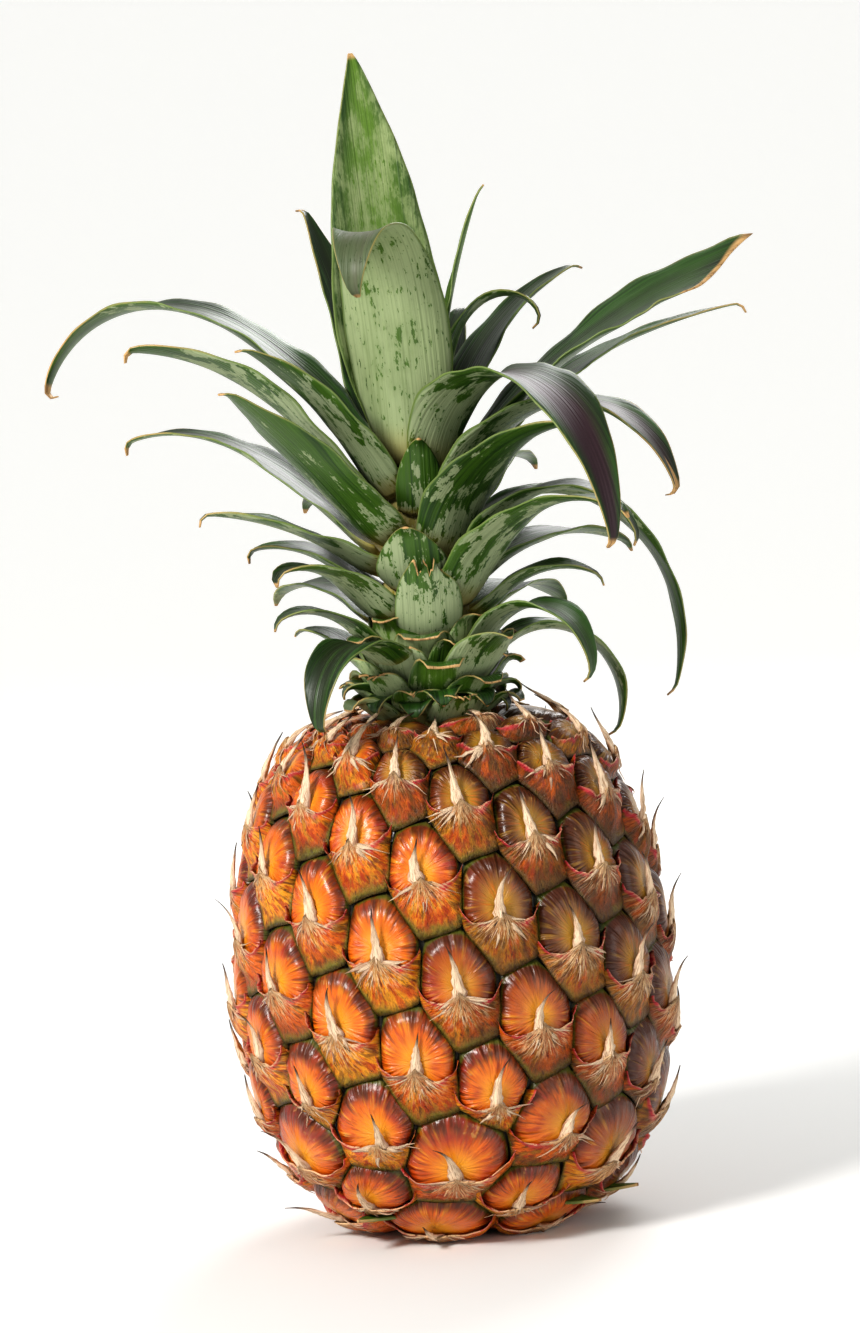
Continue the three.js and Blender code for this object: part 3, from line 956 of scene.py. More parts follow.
@dataclass(frozen=True)
class Outline:
    """The fruit's outline from base to top as lists of one length."""

    radius: np.ndarray
    z: np.ndarray
    nx: np.ndarray
    nz: np.ndarray
    eyes: np.ndarray
    sphere: np.ndarray

    WIDEST_Z = 68.0
    WIDEST = 60.0  # radius at the widest height
    RISE_UP = 73.0  # from the widest height to the top
    RISE_DOWN = 70.0  # from the widest height to the foot, before the base is cut
    EYE_AREA = 541.0  # skin per eye at the widest height, in square millimetres
    SINK = 2.4  # how deep the plain skin lies under the outline

    @classmethod
    def grown(cls) -> "Outline":
        """Works the outline out.

        Returns:
            The outline, with the number of eyes counted up to each height and the height on a
            sphere that keeps the eyes' shapes.
        """
        b = np.linspace(-math.pi / 2, math.pi / 2, 901)[1:-1]
        above = b > 0
        radius = cls.WIDEST * np.cos(b) ** (2 / np.where(above, 4.5, 3.0))
        rise = np.where(above, cls.RISE_UP, cls.RISE_DOWN)
        steep = 2 / np.where(above, 1.7, 2.2)
        z = cls.WIDEST_Z + np.sign(b) * rise * np.abs(np.sin(b)) ** steep
        before = np.maximum(np.arange(len(z)) - 1, 0)
        after = np.minimum(np.arange(len(z)) + 1, len(z) - 1)
        dr, dz = radius[after] - radius[before], z[after] - z[before]
        length = np.hypot(dr, dz)
        step = np.hypot(np.diff(radius), np.diff(z))
        middle = (radius[1:] + radius[:-1]) / 2
        high = z[1:] > cls.WIDEST_Z
        share = np.abs(z[1:] - cls.WIDEST_Z) / np.where(high, cls.RISE_UP, cls.RISE_DOWN)
        area = cls.EYE_AREA * (1 - np.where(high, 1.0, 0.12) * 0.75 * share**4)
        eyes = np.concatenate([[0.0], np.cumsum(2 * math.pi * middle * step / area)])
        sphere = np.concatenate([[0.0], np.cumsum(step / middle)])
        sphere -= np.interp(cls.WIDEST_Z, z, sphere)
        return cls(radius, z, dz / length, -dr / length, eyes, sphere)

    def at(self, z: np.ndarray, values: np.ndarray) -> np.ndarray:
        """Looks one of the lists up at heights.

        Args:
            z: Heights.
            values: The list.

        Returns:
            Its values there.
        """
        return np.interp(z, self.z, values)

    def spots(self, azimuth: np.ndarray, z: np.ndarray) -> np.ndarray:
        """The sphere's points that stand for places on the outline.

        Args:
            azimuth: Angles in radians.
            z: Heights.

        Returns:
            Unit vectors.
        """
        v = self.at(z, self.sphere)
        spots = outward(azimuth) / np.cosh(v)[..., None]
        spots[..., 2] = np.tanh(v)
        return spots

    def points(self, spots: np.ndarray, over: np.ndarray) -> np.ndarray:
        """The points over the skin that belong to points of the sphere.

        Args:
            spots: Unit vectors.
            over: Heights over the plain skin.

        Returns:
            Points in millimetres.
        """
        azimuth = np.arctan2(spots[..., 0], -spots[..., 1])
        v = np.arctanh(np.clip(spots[..., 2], -0.999999, 0.999999))
        z = np.interp(v, self.sphere, self.z)
        away = over - self.SINK
        radius = np.maximum(self.at(z, self.radius) + away * self.at(z, self.nx), 0.0)
        points = outward(azimuth) * radius[..., None]
        points[..., 2] = z + away * self.at(z, self.nz)
        return points


@dataclass(frozen=True)
class Eye:
    """One eye of the fruit with its cell's border, in its own flat coordinates."""

    outline: Outline
    centre: np.ndarray
    right: np.ndarray
    up: np.ndarray
    scale: float
    border_spots: np.ndarray
    border: np.ndarray
    soft: np.ndarray
    size: float
    seed: float
    phase: np.ndarray
    lean: float
    tip_over: float

    VALLEY = -1.2  # height of the grooves over the plain skin
    DOME = 4.3  # height of a full dome over the grooves

    @property
    def round_reach(self) -> float:
        """Radius of the rings near the dome's top.

        Returns:
            The radius in millimetres.
        """
        return float(np.hypot(*self.border.T).min()) * 1.02

    def reach(self, angle: np.ndarray) -> np.ndarray:
        """Distance of the cell's border.

        Args:
            angle: Directions in radians, from right towards up.

        Returns:
            Distances in millimetres.
        """
        angles = np.arctan2(self.border[:, 1], self.border[:, 0])
        order = np.argsort(angles)
        distances = np.hypot(*self.border[order].T)
        return np.interp(angle, angles[order], distances, period=2 * math.pi)

    def soft_reach(self, angle: np.ndarray) -> np.ndarray:
        """Distance of a rounded line just inside the cell's border.

        Args:
            angle: Directions in radians, from right towards up.

        Returns:
            Distances in millimetres.
        """
        known = np.arange(len(self.soft)) * 2 * math.pi / len(self.soft)
        return np.interp(angle, known, self.soft, period=2 * math.pi)

    @staticmethod
    def blend_reach(share: np.ndarray, border: np.ndarray, soft: np.ndarray) -> np.ndarray:
        """Distance of a ring, rounded over the dome and like the cell at its foot.

        Args:
            share: Which ring, from 0 at the centre to 1 at the border.
            border: Distance of the border in the same direction.
            soft: Distance of the rounded line in the same direction.

        Returns:
            Distances in millimetres.
        """
        weight = np.clip((share - 0.9) / 0.1, 0, 1)
        return share * (border * weight + soft * (1 - weight))

    def share(self, x: np.ndarray, y: np.ndarray) -> np.ndarray:
        """The ring that a place lies on.

        Args:
            x: Millimetres to the right.
            y: Millimetres up.

        Returns:
            Shares from 0 to 1.
        """
        distance = np.hypot(x, y)
        angle = np.arctan2(y, x)
        border, soft = self.reach(angle), self.soft_reach(angle)
        low, high = np.zeros_like(distance), np.ones_like(distance)
        for _ in range(22):
            middle = (low + high) / 2
            inside = self.blend_reach(middle, border, soft) < distance
            low, high = np.where(inside, middle, low), np.where(inside, high, middle)
        return (low + high) / 2

    def dome(self, share: np.ndarray, angle: np.ndarray) -> np.ndarray:
        """Height of the eye's dome over the plain skin.

        Args:
            share: Ring from 0 to 1.
            angle: Direction in radians.

        Returns:
            Heights in millimetres, the same at every cell's border.
        """
        high = self.DOME * mix(0.75, 1.0, self.size)
        body = self.VALLEY + high * np.sqrt(1 - np.minimum(share / 0.965, 1) ** 4.2)
        band = smooth_step(0.3, 0.75, share) * (1 - smooth_step(0.88, 0.95, share))
        folds = sum(np.sin(k * angle + self.phase[i]) for i, k in enumerate((7, 11, 15, 18)))
        tilt = 0.35 * np.sin(angle + self.phase[4]) * share * (1 - share**6)
        dent = -0.35 * np.exp(-((share / 0.28) ** 2))
        return body + 0.11 * folds * band + tilt + dent

    def spots(self, x: np.ndarray, y: np.ndarray) -> np.ndarray:
        """The sphere's points for places around this eye.

        Args:
            x: Millimetres to the right.
            y: Millimetres up.

        Returns:
            Unit vectors.
        """
        flat = self.centre + (x[..., None] * self.right + y[..., None] * self.up) / self.scale
        return unit(flat)

    def place(self, x: np.ndarray, y: np.ndarray, over: np.ndarray) -> np.ndarray:
        """Points over the skin around this eye.

        Args:
            x: Millimetres to the right.
            y: Millimetres up.
            over: Heights over the plain skin.

        Returns:
            Points in millimetres.
        """
        return self.outline.points(self.spots(x, y), over)


@dataclass
class Fruit:
    """The fruit: its skin of eyes, the bracts, and the dry spines and shreds."""

    outline: Outline = field(default_factory=Outline.grown)
    draw: Draw = field(default_factory=lambda: Draw(20731))
    eyes: list[Eye] = field(default_factory=list)
    ends: list[np.ndarray] = field(default_factory=list)

    EDGE_PARTS = 8  # steps along each side of a cell
    RINGS = (0.16, 0.32, 0.46, 0.58, 0.68, 0.76, 0.83, 0.88, 0.915, 0.945, 0.97)
    EDGE_MARKS = (0.0, 0.1, 0.3, 0.55, 0.78, 0.92, 1.0)
    EDGE_HEIGHTS = (-1.4, -2.5, -3.6, -3.9, -3.0, -1.3, 0.9)
    BASE_BRACTS = (66.0, 44.0, -38.0)  # their azimuths in degrees
    FIRST_AZIMUTH = -19.0
    FIRST_Z = 86.0
    LEAST_LOW = 25.0  # smallest radius of the skin that has eyes near the base
    LEAST_HIGH = 22.0  # the same near the crown

    def grow(self) -> None:
        """Places the eyes in their spiral and works out their cells."""
        centres = self.centres()
        azimuth = np.array([c[0] for c in centres])
        z = np.array([c[1] for c in centres])
        points = np.concatenate([self.outline.spots(azimuth, z), [[0, 0, 1], [0, 0, -1]]])
        cells, corners = self.cells(points)
        free = np.random.default_rng(20731)
        for k, (own, angle) in enumerate(zip(cells, azimuth)):
            centre, right = points[k], sideways(angle)
            up = np.cross(centre, right)
            radius = float(self.outline.at(z[k], self.outline.radius))
            scale = radius * math.cosh(float(self.outline.at(z[k], self.outline.sphere)))
            ring = self.border(own, corners, right, up)
            flat = ring / (ring @ centre)[:, None] * scale
            border = np.stack([flat @ right, flat @ up], axis=1)
            tip_over = mix(3.6, 6.2, self.draw())
            lean = 2.6 * (2 * self.draw() - 1)
            self.eyes.append(
                Eye(
                    outline=self.outline,
                    centre=centre,
                    right=right,
                    up=up,
                    scale=scale,
                    border_spots=ring,
                    border=border,
                    soft=self.rounded(border),
                    size=min(radius / 40, 1.0),
                    seed=float(free.random()),
                    phase=free.random(8) * 2 * math.pi,
                    lean=lean,
                    tip_over=tip_over,
                )
            )
        level, ahead = np.array([1.0, 0.0, 0.0]), np.array([0.0, 1.0, 0.0])
        for own, right in zip(cells[-2:], (level, -level)):
            self.ends.append(self.border(own, corners, right, ahead))

    def centres(self) -> list[tuple[float, float]]:
        """The eyes' centres in spiral order.

        Returns:
            Azimuth in radians and height of each.
        """
        line = self.outline
        start = float(line.at(self.FIRST_Z, line.eyes))
        found = []
        for k in range(math.ceil(-start), math.ceil(line.eyes[-1] - start)):
            azimuth = math.radians(self.FIRST_AZIMUTH - GOLDEN_ANGLE * k)
            level = float(np.interp(start + k, line.eyes, line.z))
            lean = 3.6 * math.sin(azimuth)
            z = level + lean * float(line.at(level, line.radius)) / line.WIDEST
            least = self.LEAST_HIGH if z > line.WIDEST_Z else self.LEAST_LOW
            if float(line.at(z, line.radius)) > least:
                found.append((azimuth, z))
        return found

    @staticmethod
    def cells(points: np.ndarray) -> tuple[list[list[int]], np.ndarray]:
        """The cells around the eyes' points on the sphere.

        Args:
            points: The points.

        Returns:
            The numbers of each cell's corners, and the corners.
        """
        hull = bmesh.new()
        for point in points:
            hull.verts.new(point)
        hull.verts.index_update()
        bmesh.ops.convex_hull(hull, input=hull.verts[:])
        cells = [[] for _ in points]
        corners = []
        for face in hull.faces:
            for vertex in face.verts:
                cells[vertex.index].append(len(corners))
            corners.append(unit(points[[v.index for v in face.verts]].mean(axis=0)))
        hull.free()
        return cells, np.array(corners)

    @staticmethod
    def rounded(border: np.ndarray) -> np.ndarray:
        """A rounded line just inside a cell's border.

        Args:
            border: The border's points.

        Returns:
            Its distances in 72 directions, from right towards up.
        """
        angles = np.arctan2(border[:, 1], border[:, 0])
        order = np.argsort(angles)
        known = np.arange(72) * 2 * math.pi / 72
        distances = np.hypot(*border[order].T)
        full = np.interp(known, angles[order], distances, period=2 * math.pi)
        spread = np.minimum(known, 2 * math.pi - known)
        weights = np.exp(-((spread / 0.6) ** 2))
        turned = [np.roll(full, k) * weights[k] for k in range(72)]
        return np.minimum(sum(turned) / weights.sum() * 0.97, full * 0.99)

    def border(
        self, own: list[int], corners: np.ndarray, right: np.ndarray, up: np.ndarray
    ) -> np.ndarray:
        """A cell's border in small steps that both of its neighbours share.

        Args:
            own: Numbers of the cell's corners.
            corners: All corners on the sphere.
            right: Direction to the cell's right.
            up: Direction up over it.

        Returns:
            Unit vectors around the cell, counted from right towards up.
        """
        angle = np.arctan2(corners[own] @ up, corners[own] @ right)
        ring = [own[i] for i in np.argsort(angle)]
        spots = []
        for a, b in zip(ring, ring[1:] + ring[:1]):
            low, high = corners[min(a, b)], corners[max(a, b)]
            for part in range(self.EDGE_PARTS):
                share = part / self.EDGE_PARTS
                share = share if a < b else 1 - share
                spots.append(unit(low + (high - low) * share))
        return np.array(spots)

    def skin(self, finish: bpy.types.Material) -> bpy.types.Object:
        """The closed skin, cut flat at its base, with the stalk's socket and the crown's seat.

        Args:
            finish: Material of the skin.

        Returns:
            The object.
        """
        shape = Shape()
        for eye in self.eyes:
            self.add_cell(shape, eye)
        for ring, side in zip(self.ends, (1, -1)):
            spots = np.concatenate([ring, [[0, 0, side]]])
            over = np.full(len(spots), Eye.VALLEY)
            points = self.outline.points(spots, over)
            points[-1, :2] = 0
            n = len(ring)
            faces = [[k, (k + 1) % n, n] for k in range(n)]
            blank = np.ones((n + 1, 2))
            shape.add(points, faces, {"eye": blank, "kind": blank})
        piece = shape.piece("fruit_skin", finish)
        close_up(piece, cut_level=True)
        hollow(piece, cylinder("socket", STALK_RADIUS + GAP, -1.0, STALK_HEIGHT + GAP, 48))
        hollow(piece, cylinder("seat", SEAT_RADIUS, SEAT_Z, SEAT_Z + 60, 48))
        select_only(piece)
        bpy.ops.object.shade_smooth_by_angle(angle=math.radians(70))
        return piece

    def add_cell(self, shape: Shape, eye: Eye) -> None:
        """Adds the rings of one eye.

        Args:
            shape: The mesh that they are added to.
            eye: The eye.
        """
        n = len(eye.border)
        angle = np.arctan2(eye.border[:, 1], eye.border[:, 0])
        border = np.hypot(*eye.border.T)
        xs, ys, shares = [0.0], [0.0], [0.0]
        points = [eye.place(np.zeros(1), np.zeros(1), eye.dome(np.zeros(1), np.zeros(1)))]
        for share in self.RINGS:
            reach = eye.blend_reach(np.full(n, share), border, eye.soft_reach(angle))
            x, y = reach * np.cos(angle), reach * np.sin(angle)
            points.append(eye.place(x, y, eye.dome(np.full(n, share), angle)))
            xs += x.tolist()
            ys += y.tolist()
            shares += [share] * n
        points.append(self.outline.points(eye.border_spots, np.full(n, Eye.VALLEY)))
        xs += eye.border[:, 0].tolist()
        ys += eye.border[:, 1].tolist()
        shares += [1.0] * n
        faces = [[0, 1 + k, 1 + (k + 1) % n] for k in range(n)]
        for ring in range(len(self.RINGS)):
            low, high = 1 + ring * n, 1 + (ring + 1) * n
            for k in range(n):
                after = (k + 1) % n
                faces.append([low + k, high + k, high + after, low + after])
        flat = np.stack([xs, ys], axis=1) / eye.round_reach
        kind = np.stack([shares, np.full(len(shares), eye.seed)], axis=1)
        shape.add(np.concatenate(points), faces, {"eye": flat, "kind": kind})

    def bracts(self, finish: bpy.types.Material) -> bpy.types.Object:
        """The bracts, one over the lower half of each eye.

        Args:
            finish: Material of the bracts.

        Returns:
            The object.
        """
        shape = Shape()
        for eye in self.eyes:
            self.add_bract(shape, eye)
        piece = shape.piece("fruit_bracts", finish)
        close_up(piece, cut_level=True)
        return piece

    def add_bract(self, shape: Shape, eye: Eye) -> None:
        """Adds one bract: a sheet with a concave upper edge, two wing tips and a keel.

        Args:
            shape: The mesh that it is added to.
            eye: The eye that it covers.
        """
        rows, columns = 10, 33
        v = np.linspace(0, 1, rows)[:, None] * np.ones((1, columns))
        lone = np.linspace(-1, 1, columns)
        lone = np.sign(lone) * np.abs(lone) ** 1.1
        u = np.ones((rows, 1)) * lone
        free = np.random.default_rng(int(eye.seed * 1e6))
        jag = np.interp(lone, np.linspace(-1, 1, 15), free.normal(0, 0.32, 15))
        edge = np.interp(np.abs(lone), self.EDGE_MARKS, self.EDGE_HEIGHTS) + jag
        edge = edge + free.normal(0, 0.9) * lone
        side = np.where(u > 0, eye.reach(np.array([0.1]))[0], eye.reach(np.array([3.04]))[0])
        edge_x = u * side * free.uniform(1.0, 1.08)
        edge_y = np.ones((rows, 1)) * edge * eye.size
        angle = math.radians(270) + np.radians(84) * u
        low = eye.reach(angle) * (1.0 + 0.1 * (1 - u**2) + 0.02 * np.sin(9 * u + eye.phase[2]))
        low_x, low_y = low * np.cos(angle), low * np.sin(angle)
        bow = v**0.9
        x = low_x + (edge_x - low_x) * bow
        y = low_y + (edge_y - low_y) * bow
        body = eye.dome(eye.share(x, y), np.arctan2(y, x))
        ray = np.arctan2(y + 1.6, x)
        lift = np.interp(v, [0, 0.12, 0.4, 0.8, 1.0], [-0.1, 0.3, 0.6, 0.8, 1.1])
        ripple = free.normal(0, 1, 6)
        wavy = sum(ripple[i] * np.sin((3 + 2.3 * i) * u + eye.phase[i]) for i in range(5))
        fold = np.sin(12 * ray + eye.phase[5]) + 0.8 * np.sin(17 * ray + eye.phase[6])
        fold = 0.17 * fold * smooth_step(0.05, 0.4, v)
        keel = 1.4 * np.exp(-((u / 0.16) ** 2)) * smooth_step(0.25, 0.95, v)
        wing = 2.4 * np.abs(u) ** 4 * v**2
        over = body + eye.size * (lift + 0.13 * wavy * v**2 + fold + keel + wing)
        plate = mix(mix(0.9, -0.6, np.abs(u) ** 2), 2.2, v**0.8)
        over = np.maximum(over, eye.size * plate + 0.5 * fold)
        middle = eye.place(x, y, over - 0.2)
        above = eye.place(x, y, over + 0.8)
        half = np.full((rows, columns), 0.2) * mix(0.6, 1.0, eye.size)
        flat = np.stack([x, y], axis=-1) / eye.round_reach
        own = np.stack([u, v], axis=-1)
        kind = np.stack([np.full_like(u, eye.seed), np.zeros_like(u)], axis=-1)
        shape.sheet(middle, unit(above - middle), half, {"eye": flat, "bract": own, "kind": kind})

    def base_bracts(self, finish: bpy.types.Material) -> bpy.types.Object:
        """The few green bracts that are left under the fruit's edge.

        Args:
            finish: Material of the leaves.

        Returns:
            The object.
        """
        rows, columns = 17, 9
        t = np.linspace(0, 1, rows)[:, None] * np.ones((1, columns))
        u = np.ones((rows, 1)) * np.linspace(-1, 1, columns)
        half = 6.0 * (1 - t**1.6) * (1 - 0.1 * np.sin(9 * t + 2 * u)) + 0.15
        shape = Shape()
        for degrees in self.BASE_BRACTS:
            azimuth = math.radians(degrees)
            out, side = outward(azimuth), sideways(azimuth)
            middle = out * (31 + 19 * t)[..., None] + side * (u * half)[..., None]
            middle[..., 2] = 9.8 + 0.2 * t - 0.9 * np.abs(u) ** 2 * (1 - t) - 0.5 * np.sin(3 * t)
            normal = np.zeros_like(middle)
            normal[..., 2] = 1.0
            flat = np.zeros_like(u)
            maps = {
                "leaf": np.stack([u, t], axis=-1),
                "size": np.stack([u * half / 100, t * 0.19], axis=-1),
                "side": np.stack([flat, flat + degrees / 100], axis=-1),
                "look": np.stack([flat + 1.0, flat], axis=-1),
                "coat": np.stack([flat - 0.5, flat + 0.3], axis=-1),
            }
            shape.sheet(middle, normal, flat + 0.4, maps)
        return shape.piece("fruit_base_bracts", finish)

    def spines(self, finish: bpy.types.Material) -> bpy.types.Object:
        """The dry spines with their dark hair tips, and the shreds around their roots.

        Args:
            finish: Material of both.

        Returns:
            The object.
        """
        shape = Shape()
        for eye in self.eyes:
            free = np.random.default_rng(int(eye.seed * 1e6) + 7)
            self.add_spine(shape, eye, free)
            for _ in range(int(free.integers(7, 11))):
                self.add_shred(shape, eye, free)
        piece = shape.piece("fruit_spines", finish)
        close_up(piece, cut_level=True)
        return piece

    def add_spine(self, shape: Shape, eye: Eye, free: np.random.Generator) -> None:
        """Adds one spine, a gutter-shaped strip that stands off the dome and ends in a hair.

        Args:
            shape: The mesh that it is added to.
            eye: Its eye.
            free: Draws its small differences.
        """
        rows, columns = 17, 7
        t = np.linspace(0, 1, rows)
        length = 15.0 * eye.size * free.uniform(0.85, 1.1)
        start = -5.4 * eye.size
        y = start + length * t
        curl = free.normal(0, 1.1)
        x = eye.lean * t**1.5 + curl * np.sin(math.pi * t) * 0.5
        stand = eye.tip_over + free.uniform(-0.5, 1.2)
        flick = free.choice([0.0, 1.2, 2.6, 5.0], p=[0.3, 0.3, 0.24, 0.16])
        root = float(eye.dome(np.array([0.4]), np.array([-1.5]))[0]) + 0.9
        over = root + (stand - root) * t**1.2 + flick * t**4 + 0.7 * np.sin(math.pi * t**0.7)
        x = x + free.normal(0, 1.6) * t**5
        wide = 1.9 * eye.size * free.uniform(0.85, 1.2)
        half_width = wide * np.interp(
            t, [0, 0.1, 0.25, 0.5, 0.75, 1.0], [0.8, 1.0, 0.95, 0.56, 0.22, 0.035]
        )
        j = np.linspace(-1, 1, columns)
        torn = free.normal(0, 0.13, (rows, columns)) * np.abs(j)
        grid_x = x[:, None] + half_width[:, None] * (j + torn)
        grid_y = y[:, None] + np.zeros_like(j)
        sag = half_width[:, None] * (0.7 * np.abs(j) ** 1.3)
        ragged = 0.16 * np.sin(9 * t[:, None] + 5 * j + eye.phase[6]) * half_width[:, None]
        ragged = ragged + free.normal(0, 0.07, (rows, columns)) * half_width[:, None]
        middle = eye.place(grid_x, grid_y, over[:, None] - sag + ragged)
        above = eye.place(grid_x, grid_y, over[:, None] - sag + ragged + 1)
        thick = np.interp(t, [0, 0.5, 1], [0.26, 0.2, 0.1])[:, None] * np.ones(columns)
        own = np.stack([np.ones((rows, 1)) * j, t[:, None] * np.ones(columns)], axis=-1)
        kind = np.stack([np.full((rows, columns), eye.seed), np.ones((rows, columns))], axis=-1)
        shape.sheet(middle, unit(above - middle), thick, {"strip": own, "kind": kind})

    def add_shred(self, shape: Shape, eye: Eye, free: np.random.Generator) -> None:
        """Adds one torn papery strip that starts near the spine's root.

        Args:
            shape: The mesh that it is added to.
            eye: Its eye.
            free: Draws its place and form.
        """
        rows, columns = 8, 3
        t = np.linspace(0, 1, rows)
        angle = math.radians(270 + 85 * free.uniform(-1, 1))
        length = free.uniform(3.5, 10.5) * eye.size
        wide = free.choice([0.2, 0.32, 0.5, 0.85], p=[0.3, 0.3, 0.25, 0.15]) * eye.size
        bend = free.normal(0, 1.0)
        x = 1.2 * math.cos(angle) + length * t * math.cos(angle) - bend * t**2 * math.sin(angle)
        y = -3.2 * eye.size + length * t * math.sin(angle) * 0.85 + bend * t**2 * math.cos(angle)
        share = eye.share(x, y)
        lift = free.uniform(0.0, 0.9) * eye.size
        bulge = lift * np.sin(math.pi * t**0.8) * t
        over = np.maximum(eye.dome(share, np.arctan2(y, x)), 1.0) + 1.0 + bulge
        over = over + free.uniform(-0.3, 0.9) * t**3
        j = np.linspace(-1, 1, columns)
        half_width = wide * np.interp(t, [0, 0.3, 1.0], [0.9, 1.0, 0.06])
        grid_x = x[:, None] - half_width[:, None] * j * math.sin(angle)
        grid_y = y[:, None] + half_width[:, None] * j * math.cos(angle)
        height = over[:, None] - 0.35 * half_width[:, None] * j**2
        middle = eye.place(grid_x, grid_y, height)
        above = eye.place(grid_x, grid_y, height + 1)
        thick = np.full((rows, columns), 0.09)
        along = 0.1 + 0.5 * t[:, None] * np.ones(columns)
        own = np.stack([np.ones((rows, 1)) * j, along], axis=-1)
        seed = np.full((rows, columns), free.random())
        kind = np.stack([seed, np.zeros((rows, columns))], axis=-1)
        shape.sheet(middle, unit(above - middle), thick, {"strip": own, "kind": kind})


# Crown


STEM_HEIGHTS = (0.0, 9.0, 22.0, 44.0, 62.0, 78.0, 86.0)
STEM_RADII = (16.0, 15.0, 13.0, 10.5, 8.0, 5.5, 2.0)


def stem_radius(z: float) -> float:
    """Radius of the crown's stem.

    Args:
        z: Height over its foot.

    Returns:
        The radius in millimetres.
    """
    return float(np.interp(z, STEM_HEIGHTS, STEM_RADII))


class Tip(Enum):
    """How a leaf ends."""

    POINT = "point"
    CUT = "cut"
    TORN = "torn"
    SPLIT = "split"


